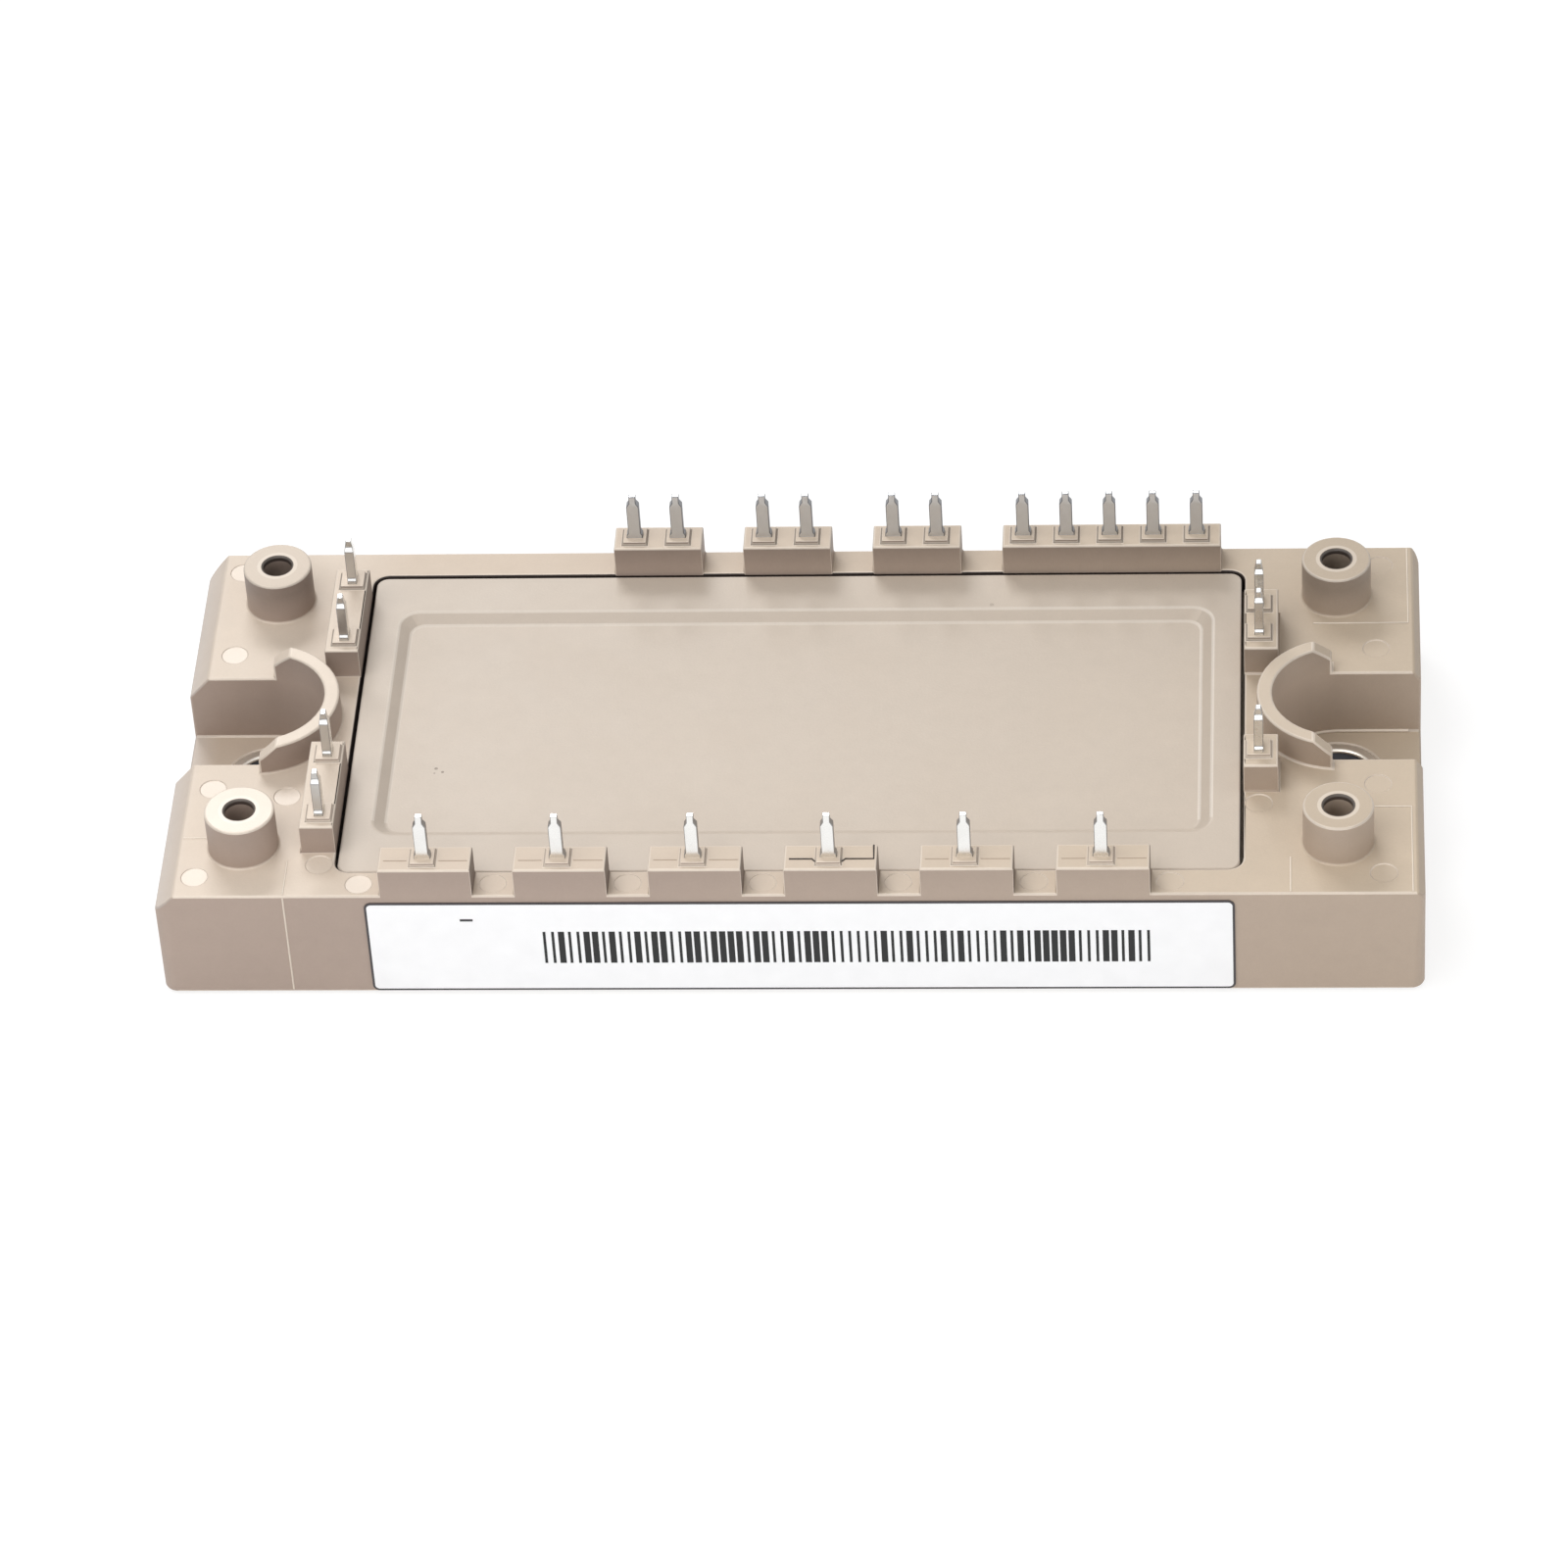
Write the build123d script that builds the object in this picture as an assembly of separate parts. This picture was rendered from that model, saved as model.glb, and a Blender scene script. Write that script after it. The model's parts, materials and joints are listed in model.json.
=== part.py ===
from build123d import *
import os

# Power module with solder pins: switching chips and a rectifier on two ceramic substrates,
# in a moulded frame on a nickel-plated copper plate.
# Millimetres, +Z up. The origin is the middle of the outline, on the underside of the plate.
# The long side with the label is the front and faces -Y.

# Driving dimensions

# Pin grid: places are counted in steps of the grid from the middle of the module
grid = 3.81
rear_steps = [(-4, -3), (-1, 0), (2, 3), (5, 6, 7, 8, 9)]
front_steps = [(-8,), (-5,), (-2,), (1,), (4,), (7,)]
left_steps = [(-4, -2), (2, 4)]
right_steps = [(-2,), (2, 3)]

# Moulded housing: its width and height, and walls counted from the width and from the last pin
# They give rows of pins 11 steps apart, an opening of 77.0 x 38.9, screws 93.0 apart and 107.5 of length
case_width = 45.0
case_height = 11.0
row_outer_wall = 1.545
row_inner_wall = 1.505
opening_end_margin = 4.21
side_pin_wall = 1.3
opening_to_collar = 1.1
screw_to_end = 7.25
case_corner_radius = 1.2
end_chamfer_run = 1.2
end_chamfer_drop = 1.6

# Cooling plate and its seat in the underside of the housing
plate_thickness = 3.0
plate_proud = 0.3
skirt_wall = 1.1
plate_clearance = 0.1
plate_corner_radius = 1.2
bead_thickness = 0.2
bead_width = 2.0
bead_setback = 0.4

# Heatsink screws: holes, metal sleeves, open wells and their collars
screw_hole_radius = 2.75
sleeve_radius = 3.95
sleeve_bore_radius = 2.95
sleeve_edge = 0.2
sleeve_fit = 0.05
well_radius = 5.6
well_floor_thickness = 1.4
collar_wall = 1.3
collar_rise = 2.85
collar_stop = 0.45
collar_end_run = 1.6
collar_end_drop = 1.35

# Standoffs for the circuit board
standoff_edge_distance = 6.45
standoff_radius = 3.0
standoff_rise = 4.1
standoff_hole_radius = 1.25
standoff_hole_depth = 9.0

# Opening for the lid, the lid and its sunken field
opening_radius = 1.4
lid_gap = 0.35
lid_drop = 0.1
lid_thickness = 1.8
lid_seat_width = 2.0
field_margin_x = 2.4
field_margin_y = 4.5
field_slope = 1.0
field_depth = 0.8
field_radius = 1.8
rim_height = 1.0
rim_wall = 1.0
rim_clearance = 0.2

# Cavity: a shelf for the feet of the pins, and the floor space of the substrates
shelf_height = 3.6
shelf_width = 2.4
gel_gap = 0.2

# Pins: bent strips with a shoulder at the foot of the shank and a coined tip
pin_width = 1.1
pin_thickness = 0.8
pin_rise = 4.85
pin_foot_setback = 0.3
shoulder_width = 1.4
shoulder_height = 0.5
shoulder_slope = 0.25
tip_width = 0.6
tip_length = 0.65
tip_taper = 0.4
tip_thickness = 0.45

# Blocks that hold the pins, and the small sleeve that each pin comes out of
block_rise = 2.9
side_block_depth = 2.95
block_shift = 0.15
rear_block_margin = 1.97
front_block_margin = 3.93
left_block_margin = 1.72
right_block_margin = 2.07
boss_width = 2.1
boss_rise = 0.35
boss_draft = 8

# Label on the front face
label_length = 73.5
label_top_gap = 0.75
label_thickness = 0.12
label_radius = 1.0
label_shift = 1.05
label_lift = 0.2

# Substrates, from the plate up
solder_thickness = 0.15
lower_copper_thickness = 0.3
ceramic_thickness = 0.63
upper_copper_thickness = 0.3
substrate_end_gap = 0.8
substrate_side_gap = 1.3
substrate_gap = 1.6
copper_margin = 0.9
copper_gap = 0.8
island_depth = 1.8
island_width = 1.5
bus_depth = 1.4
lower_pad_depth = 7.9
left_columns = 4
right_columns = 3

# Chips and the thermistor
switch_size = 4.6
diode_size = 2.6
rectifier_size = 4.2
chip_thickness = 0.25
chip_row_setback = 4.8
chip_edge = 0.15
switch_offset = 0.2
diode_offset = 4.2
thermistor_size = (2.6, 1.2, 0.8)
thermistor_gap = 1.4
thermistor_steps = -6.1

# Bond wires
wire_radius = 0.15
wire_sides = 4
wire_arch = 0.8
wire_spacing = 1.0
wire_inset = 1.0
wire_edge = 0.3

# Heights that follow

skirt_z = plate_proud
top_z = skirt_z + case_height
frame_z = plate_thickness + bead_thickness
well_floor_z = frame_z + well_floor_thickness
block_top_z = top_z + block_rise
boss_top_z = block_top_z + boss_rise
pin_tip_z = block_top_z + pin_rise
standoff_top_z = top_z + standoff_rise
lid_top_z = top_z - lid_drop
lid_seat_z = lid_top_z - lid_thickness
shelf_z = frame_z + shelf_height
gel_z = lid_seat_z - rim_height - gel_gap
ceramic_z = plate_thickness + solder_thickness + lower_copper_thickness
upper_copper_z = ceramic_z + ceramic_thickness
pad_z = upper_copper_z + upper_copper_thickness
chip_z = pad_z + chip_thickness

# Lengths and places that follow

row_y = case_width / 2 - row_outer_wall
last_pin_x = rear_steps[-1][-1] * grid
opening_length = 2 * (last_pin_x + opening_end_margin)
opening_width = 2 * (row_y - row_inner_wall)
side_pin_x = opening_length / 2 + side_pin_wall
screw_x = opening_length / 2 + opening_to_collar + collar_wall + well_radius
case_length = 2 * (screw_x + screw_to_end)
standoff_spacing_x = 2 * screw_x
standoff_spacing_y = case_width - 2 * standoff_edge_distance
seat_length = opening_length - 2 * lid_seat_width
seat_width = opening_width - 2 * lid_seat_width
cavity_length = seat_length - 2 * shelf_width
cavity_width = seat_width - 2 * shelf_width
plate_seat_length = case_length - 2 * skirt_wall
plate_seat_width = case_width - 2 * skirt_wall
lid_length = opening_length - 2 * lid_gap
lid_width = opening_width - 2 * lid_gap
substrate_length = (cavity_length - 2 * substrate_end_gap - substrate_gap) / 2
substrate_width = cavity_width - 2 * substrate_side_gap
substrate_x = (substrate_length + substrate_gap) / 2
copper_length = substrate_length - 2 * copper_margin
copper_width = substrate_width - 2 * copper_margin
row_foot_length = row_y - cavity_width / 2 - pin_foot_setback
side_foot_length = side_pin_x - cavity_length / 2 - pin_foot_setback

# Rows of copper on a substrate, from the rear edge to the front edge: islands for the pins,
# one pad for the upper chips, pads for the lower chips, the bus, islands for the pins

rear_island_y = (copper_width - island_depth) / 2
front_island_y = -rear_island_y
bus_y = -copper_width / 2 + island_depth + copper_gap + bus_depth / 2
lower_pad_front = bus_y + bus_depth / 2 + copper_gap
lower_pad_rear = lower_pad_front + lower_pad_depth
lower_pad_y = (lower_pad_rear + lower_pad_front) / 2
upper_pad_front = lower_pad_rear + copper_gap
upper_pad_rear = copper_width / 2 - island_depth - copper_gap
upper_pad_y = (upper_pad_rear + upper_pad_front) / 2
upper_chip_y = upper_pad_rear - chip_row_setback
lower_chip_y = lower_pad_front + switch_size / 2 + chip_edge
landing_y = lower_pad_rear - wire_inset
outer_bond_y = rear_island_y + wire_inset / 2
inner_bond_y = rear_island_y - wire_inset / 2

over = 1.0


# Shapes used by several pieces


def prism(outline, low, high):
    """A plan outline carried straight up from one height to another."""
    return extrude(Plane.XY.offset(low) * outline, amount=high - low)


def block(x_low, x_high, y_low, y_high, low, high):
    """A straight block between two corners."""
    middle = Pos((x_low + x_high) / 2, (y_low + y_high) / 2)
    return prism(middle * Rectangle(x_high - x_low, y_high - y_low), low, high)


def group(solids):
    """Separate solids of one kind, kept together."""
    return Compound(children=list(solids))


# Pins


def strip_profile(foot_length):
    """Side view of a pin: shank and folded foot, with the foot's top on the shelf."""
    half = pin_thickness / 2
    tip_start = pin_tip_z - tip_length - tip_taper
    return make_face(Polyline(
        (-tip_thickness / 2, pin_tip_z),
        (-half, tip_start),
        (-half, shelf_z - pin_thickness),
        (foot_length, shelf_z - pin_thickness),
        (foot_length, shelf_z),
        (half, shelf_z),
        (half, tip_start),
        (tip_thickness / 2, pin_tip_z),
        close=True,
    ))


def blank_profile():
    """Front view of a pin: the stamped strip with its shoulder and tip."""
    shoulder_z = boss_top_z + shoulder_height
    right_side = [
        (shoulder_width / 2, shelf_z - 2 * pin_thickness),
        (shoulder_width / 2, shoulder_z - shoulder_slope),
        (pin_width / 2, shoulder_z),
        (pin_width / 2, pin_tip_z - tip_length - tip_taper),
        (tip_width / 2, pin_tip_z - tip_length),
        (tip_width / 2, pin_tip_z + over),
    ]
    left_side = [(-x, z) for x, z in reversed(right_side)]
    return make_face(Polyline(*right_side, *left_side, close=True))


def bent_pin(foot_length):
    """A pin with its shank on the origin and its foot towards +Y."""
    strip = extrude(Plane.YZ * strip_profile(foot_length), amount=shoulder_width, both=True)
    blank = extrude(Plane.XZ * blank_profile(), amount=foot_length + over, both=True)
    return strip & blank


def pin_places(groups):
    """The places of a row's pins along it."""
    return [step * grid for steps in groups for step in steps]


def make_pins():
    """All pins by name, with their feet towards the cavity."""
    row_pin = bent_pin(row_foot_length)
    side_pin = bent_pin(side_foot_length)
    pins = {}
    for number, x in enumerate(pin_places(rear_steps), 1):
        pins[f"pin_rear_{number}"] = Pos(x, row_y) * Rot(0, 0, 180) * row_pin
    for number, x in enumerate(pin_places(front_steps), 1):
        pins[f"pin_front_{number}"] = Pos(x, -row_y) * row_pin
    for number, y in enumerate(pin_places(left_steps), 1):
        pins[f"pin_left_{number}"] = Pos(-side_pin_x, y) * Rot(0, 0, -90) * side_pin
    for number, y in enumerate(pin_places(right_steps), 1):
        pins[f"pin_right_{number}"] = Pos(side_pin_x, y) * Rot(0, 0, 90) * side_pin
    return pins


# Housing


def case_body():
    """The outline of the housing with its two bevelled ends."""
    half = case_length / 2
    bevel_z = top_z - end_chamfer_drop
    side_view = make_face(Polyline(
        (-half, skirt_z),
        (half, skirt_z),
        (half, bevel_z),
        (half - end_chamfer_run, top_z),
        (-half + end_chamfer_run, top_z),
        (-half, bevel_z),
        close=True,
    ))
    bevelled = extrude(Plane.XZ * side_view, amount=case_width, both=True)
    outline = RectangleRounded(case_length, case_width, case_corner_radius)
    return prism(outline, skirt_z, top_z) & bevelled


def pin_blocks():
    """The raised blocks round the pins, flush with the lid opening."""
    blocks = []
    opening_x = opening_length / 2
    opening_y = opening_width / 2
    side_x = opening_x + side_block_depth
    half = case_width / 2
    base = top_z - over
    for steps in rear_steps:
        low = steps[0] * grid - rear_block_margin + block_shift
        high = steps[-1] * grid + rear_block_margin + block_shift
        blocks.append(block(low, high, opening_y, half, base, block_top_z))
    for steps in front_steps:
        low = steps[0] * grid - front_block_margin + block_shift
        high = steps[-1] * grid + front_block_margin + block_shift
        blocks.append(block(low, high, -half, -opening_y, base, block_top_z))
    for steps in left_steps:
        low = steps[0] * grid - left_block_margin
        high = steps[-1] * grid + left_block_margin
        blocks.append(block(-side_x, -opening_x, low, high, base, block_top_z))
    for steps in right_steps:
        low = steps[0] * grid - right_block_margin
        high = steps[-1] * grid + right_block_margin
        blocks.append(block(opening_x, side_x, low, high, base, block_top_z))
    return blocks


def pin_bosses():
    """The low tapered sleeve at the foot of each pin's shank."""
    places = [(x, row_y) for x in pin_places(rear_steps)]
    places += [(x, -row_y) for x in pin_places(front_steps)]
    places += [(-side_pin_x, y) for y in pin_places(left_steps)]
    places += [(side_pin_x, y) for y in pin_places(right_steps)]
    foot = Plane.XY.offset(block_top_z) * Rectangle(boss_width, boss_width)
    boss = extrude(foot, amount=boss_rise, taper=boss_draft)
    return [Pos(x, y) * boss for x, y in places]


def standoffs():
    """The four posts that the circuit board is screwed to."""
    post = prism(Circle(standoff_radius), top_z - over, standoff_top_z)
    spots = GridLocations(standoff_spacing_x, standoff_spacing_y, 2, 2)
    return [spot * post for spot in spots]


def standoff_holes():
    """Blind screw holes down the standoffs."""
    hole = prism(Circle(standoff_hole_radius), standoff_top_z - standoff_hole_depth, standoff_top_z)
    spots = GridLocations(standoff_spacing_x, standoff_spacing_y, 2, 2)
    return [spot * hole for spot in spots]


def right_collar():
    """The half-round wall round the right well, its top sloped down at both ends."""
    ring = Circle(well_radius + collar_wall) - Circle(well_radius)
    wall = prism(Pos(screw_x, 0) * ring, top_z - over, top_z + collar_rise)
    stop_x = screw_x - collar_stop
    top = top_z + collar_rise
    start_x = screw_x - well_radius - collar_wall - over
    side_view = make_face(Polyline(
        (start_x, top_z - over),
        (stop_x, top_z - over),
        (stop_x, top - collar_end_drop),
        (stop_x - collar_end_run, top),
        (start_x, top),
        close=True,
    ))
    return wall & extrude(Plane.XZ * side_view, amount=case_width, both=True)


def right_well():
    """The space over the right screw: a round bowl that opens through the end of the case."""
    reach = case_length / 2 - screw_x + over
    bowl = Pos(screw_x, 0) * Circle(well_radius)
    channel = Pos(screw_x + reach / 2, 0) * Rectangle(reach, 2 * well_radius)
    return prism(bowl + channel, well_floor_z, block_top_z + over)


def right_sleeve_hole():
    """The hole in the well's floor that holds the metal sleeve."""
    hole = Pos(screw_x, 0) * Circle(sleeve_radius + sleeve_fit)
    return prism(hole, frame_z - over, well_floor_z + over)


def both_sides(right):
    """A right-hand shape and its mirror image at the left."""
    return [right, mirror(right, about=Plane.YZ)]


def lid_opening():
    """The opening for the lid, down to the seat that the lid lies on."""
    return prism(RectangleRounded(opening_length, opening_width, opening_radius), lid_seat_z, top_z + over)


def upper_cavity(top):
    """The space over the shelf."""
    return prism(Rectangle(seat_length, seat_width), shelf_z, top)


def lower_cavity(bottom):
    """The space over the substrates, between the shelves."""
    return prism(Rectangle(cavity_length, cavity_width), bottom, shelf_z)


def plate_seat():
    """The recess in the underside that takes the cooling plate."""
    outline = RectangleRounded(plate_seat_length, plate_seat_width, plate_corner_radius)
    return prism(outline, skirt_z - over, frame_z)


def make_housing(pins):
    """The moulded frame, in one piece, with the pins moulded in."""
    solid = case_body() + pin_blocks() + standoffs() + both_sides(right_collar())
    solid += pin_bosses()
    solid -= both_sides(right_well())
    solid -= both_sides(right_sleeve_hole())
    solid -= standoff_holes()
    solid -= [lid_opening(), upper_cavity(lid_seat_z + over), lower_cavity(skirt_z), plate_seat()]
    solid -= list(pins.values())
    return solid


# Lid, label, plate and the pieces at the screws


def make_lid():
    """The lid: a plate with a sunken field on top and a locating rim below."""
    plate = prism(RectangleRounded(lid_length, lid_width, opening_radius - lid_gap), lid_seat_z, lid_top_z)
    field_length = lid_length - 2 * field_margin_x
    field_width = lid_width - 2 * field_margin_y
    floor_length = field_length - 2 * field_slope
    floor_width = field_width - 2 * field_slope
    edge = Plane.XY.offset(lid_top_z) * RectangleRounded(field_length, field_width, field_radius)
    floor_plane = Plane.XY.offset(lid_top_z - field_depth)
    floor = floor_plane * RectangleRounded(floor_length, floor_width, field_radius - field_slope / 2)
    rim_length = seat_length - 2 * rim_clearance
    rim_width = seat_width - 2 * rim_clearance
    rim_outline = Rectangle(rim_length, rim_width)
    rim_outline -= Rectangle(rim_length - 2 * rim_wall, rim_width - 2 * rim_wall)
    rim = prism(rim_outline, lid_seat_z - rim_height, lid_seat_z)
    return plate + rim - loft([floor, edge], ruled=True)


def make_label():
    """The printed sticker on the front face."""
    label_height = case_height - label_lift - label_top_gap
    middle_z = skirt_z + label_lift + label_height / 2
    outline = Pos(label_shift, middle_z) * RectangleRounded(label_length, label_height, label_radius)
    front = Plane.XZ.offset(case_width / 2)
    return extrude(front * outline, amount=label_thickness)


def make_base_plate():
    """The nickel-plated copper plate with its two screw holes."""
    length = plate_seat_length - 2 * plate_clearance
    width = plate_seat_width - 2 * plate_clearance
    outline = RectangleRounded(length, width, plate_corner_radius - plate_clearance)
    for x in (-screw_x, screw_x):
        outline -= Pos(x, 0) * Circle(screw_hole_radius)
    return prism(outline, 0, plate_thickness)


def right_sleeve():
    """The metal sleeve under the right screw's head, level with the well's floor."""
    ring = Circle(sleeve_radius) - Circle(sleeve_bore_radius)
    tube = prism(Pos(screw_x, 0) * ring, plate_thickness, well_floor_z)
    bore_edge = tube.edges().filter_by(GeomType.CIRCLE).group_by(Axis.Z)[-1].sort_by(SortBy.RADIUS)[0]
    return chamfer(bore_edge, sleeve_edge)


def make_sealing_bead():
    """The silicone bead between the plate and the frame, round the cavity."""
    inner_length = cavity_length + 2 * bead_setback
    inner_width = cavity_width + 2 * bead_setback
    outline = Rectangle(inner_length + 2 * bead_width, inner_width + 2 * bead_width)
    outline -= Rectangle(inner_length, inner_width)
    return prism(outline, plate_thickness, frame_z)


# Substrates


def substrate_layer(side, length, width, low, thickness):
    """One full layer of a substrate, left (-1) or right (1)."""
    return prism(Pos(side * substrate_x, 0) * Rectangle(length, width), low, low + thickness)


def column_width(columns):
    """The length of one lower pad where so many stand side by side."""
    return (copper_length - (columns - 1) * copper_gap) / columns


def pad_columns(side, columns):
    """The middles of the lower pads of one substrate."""
    width = column_width(columns)
    first = side * substrate_x - copper_length / 2 + width / 2
    return [first + number * (width + copper_gap) for number in range(columns)]


def copper_pads(side):
    """The upper copper of one substrate, as plan rectangles: (x, y, length, depth)."""
    left = side * substrate_x - copper_length / 2
    right = left + copper_length
    middle = (left + right) / 2
    pads = [
        (middle, upper_pad_y, copper_length, upper_pad_rear - upper_pad_front),
        (middle, bus_y, copper_length, bus_depth),
    ]
    columns = left_columns if side < 0 else right_columns
    for x in pad_columns(side, columns):
        pads.append((x, lower_pad_y, column_width(columns), lower_pad_rear - lower_pad_front))
    for x in pin_places(front_steps):
        if left < x < right:
            pads.append((x, front_island_y, island_width, island_depth))
    if side < 0:
        pads += thermistor_pads(left)
    else:
        for x in right_rear_islands().values():
            pads.append((x, rear_island_y, island_width, island_depth))
    return pads


def right_rear_islands():
    """Islands by grid step for the rear pins from the middle to the right, moved onto the copper."""
    left = substrate_x - copper_length / 2 + island_width / 2
    right = substrate_x + copper_length / 2 - island_width / 2
    all_steps = [step for steps in rear_steps for step in steps]
    return {step: min(max(step * grid, left), right) for step in all_steps if step >= 0}


def thermistor_pads(left):
    """Two strips that the thermistor bridges, and the islands of the next rear pins."""
    x = thermistor_steps * grid
    near = x - thermistor_gap / 2
    far = x + thermistor_gap / 2
    rear_pins = [place for place in pin_places(rear_steps) if place < 0]
    end = rear_pins[0] + island_width / 2
    strips = [
        ((left + near) / 2, rear_island_y, near - left, island_depth),
        ((far + end) / 2, rear_island_y, end - far, island_depth),
    ]
    islands = [(place, rear_island_y, island_width, island_depth) for place in rear_pins[1:]]
    return strips + islands


def make_upper_copper(side):
    """The circuit pattern of one substrate."""
    pads = []
    for x, y, length, depth in copper_pads(side):
        pads.append(prism(Pos(x, y) * Rectangle(length, depth), upper_copper_z, pad_z))
    return group(pads)


def chip(x, y, size):
    """A chip soldered flat on its pad."""
    return prism(Pos(x, y) * Rectangle(size, size), pad_z, chip_z)


def inverter_steps():
    """The grid steps of the three inverter branches, which are those of the front pins there."""
    return [step for steps in front_steps for step in steps if step > 0]


def inverter_columns():
    """The gate places of the three inverter branches."""
    return [step * grid for step in inverter_steps()]


def rectifier_columns():
    """The middles of the lower pads of the left substrate: the three inputs and the brake."""
    return pad_columns(-1, left_columns)


def make_switches():
    """Six inverter switches and, last, the brake switch."""
    chips = []
    for y in (upper_chip_y, lower_chip_y):
        for x in inverter_columns():
            chips.append(chip(x + switch_offset, y, switch_size))
    chips.append(chip(rectifier_columns()[-1], lower_chip_y, switch_size))
    return chips


def make_freewheel_diodes():
    """Six inverter diodes and the brake diode."""
    chips = []
    for y in (upper_chip_y, lower_chip_y):
        for x in inverter_columns():
            chips.append(chip(x + diode_offset, y, diode_size))
    chips.append(chip(rectifier_columns()[-1], upper_chip_y, diode_size))
    return group(chips)


def make_rectifier_diodes():
    """Three upper and three lower rectifier diodes."""
    chips = []
    for y in (upper_chip_y, lower_chip_y):
        for x in rectifier_columns()[:-1]:
            chips.append(chip(x, y, rectifier_size))
    return group(chips)


def make_thermistor():
    """The temperature sensor across its two strips."""
    length, width, height = thermistor_size
    body = Pos(thermistor_steps * grid, rear_island_y) * Rectangle(length, width)
    return prism(body, pad_z, pad_z + height)


# Bond wires


def bond_wire(start, end):
    """A wire in an arch between two bonds, given as the points where it lies on them."""
    lift = Vector(0, 0, wire_radius)
    first = Vector(*start) + lift
    last = Vector(*end) + lift
    arch_z = max(first.Z, last.Z) + wire_arch
    top = Vector((first.X + last.X) / 2, (first.Y + last.Y) / 2, arch_z)
    path = Polyline(first, top, last)
    level = Vector(last.X - first.X, last.Y - first.Y, 0)
    across = level.cross(Vector(0, 0, 1))
    section = Plane(origin=first, x_dir=across, z_dir=path % 0) * RegularPolygon(wire_radius, wire_sides)
    return sweep(section, path=path, transition=Transition.RIGHT)


def pin_wires():
    """Wires from the feet of the pins to the copper."""
    foot_y = cavity_width / 2 + pin_foot_setback + wire_inset / 2
    foot_x = cavity_length / 2 + pin_foot_setback + wire_inset / 2
    copper_end = substrate_x + copper_length / 2 - wire_inset
    rear = pin_places(rear_steps)
    landings = [x for x in rear if x < 0] + list(right_rear_islands().values())
    wires = []
    for x, landing in zip(rear, landings):
        wires.append(bond_wire((x, foot_y, shelf_z), (landing, outer_bond_y, pad_z)))
    for x in pin_places(front_steps):
        wires.append(bond_wire((x, -foot_y, shelf_z), (x, -outer_bond_y, pad_z)))
    left_landings = [bus_y, lower_pad_y, upper_pad_y, rear_island_y]
    for y, landing in zip(pin_places(left_steps), left_landings):
        wires.append(bond_wire((-foot_x, y, shelf_z), (-copper_end, landing, pad_z)))
    right_landings = [lower_pad_front + wire_inset / 2, upper_chip_y + switch_size / 2]
    right_landings.append(upper_pad_rear - wire_inset)
    for y, landing in zip(pin_places(right_steps), right_landings):
        wires.append(bond_wire((foot_x, y, shelf_z), (copper_end, landing, pad_z)))
    return group(wires)


def pair_wires(x, upper, lower, count, y_step):
    """Wires along Y from the upper chip to the lower pad, and from the lower chip to the bus."""
    wires = []
    for number in range(count):
        place = x + number * wire_spacing
        if upper:
            wires.append(bond_wire((place, upper_chip_y - y_step, chip_z), (place, landing_y, pad_z)))
        if lower:
            wires.append(bond_wire((place, lower_chip_y - y_step, chip_z), (place, bus_y, pad_z)))
    return wires


def switch_wires():
    """Two emitter wires and one gate wire for each switch."""
    wires = []
    bond_y = switch_size / 4
    gate_y = switch_size / 2 - wire_edge
    islands = right_rear_islands()
    gate_islands = [islands[step + 1] for step in inverter_steps()]
    gate_side = switch_offset + switch_size / 2 - wire_edge
    for x, island in zip(inverter_columns(), gate_islands):
        wires += pair_wires(x + wire_spacing, True, True, 2, bond_y)
        wires.append(bond_wire((x, lower_chip_y - gate_y, chip_z), (x, -inner_bond_y, pad_z)))
        start = (x + gate_side, upper_chip_y + gate_y, chip_z)
        wires.append(bond_wire(start, (island, inner_bond_y, pad_z)))
    brake_x = rectifier_columns()[-1]
    wires += pair_wires(brake_x, False, True, 2, bond_y)
    brake_gate_x = max(x for x in pin_places(front_steps) if x < 0)
    start = (brake_x - wire_spacing, lower_chip_y - gate_y, chip_z)
    wires.append(bond_wire(start, (brake_gate_x, -inner_bond_y, pad_z)))
    return group(wires)


def diode_wires():
    """One wire for each freewheel diode."""
    wires = []
    for x in inverter_columns():
        wires += pair_wires(x + diode_offset, True, True, 1, 0)
    wires += pair_wires(rectifier_columns()[-1], True, False, 1, 0)
    return group(wires)


def rectifier_wires():
    """One wire for each rectifier diode."""
    wires = []
    for x in rectifier_columns()[:-1]:
        wires += pair_wires(x, True, True, 1, 0)
    return group(wires)


def make_gel(inner_pieces):
    """The silicone gel that fills the cavity over the chips and wires."""
    gel = lower_cavity(plate_thickness) + upper_cavity(gel_z)
    solids = []
    for piece in inner_pieces:
        solids += piece.solids()
    return gel - solids


# All pieces by the names they are kept under


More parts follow.
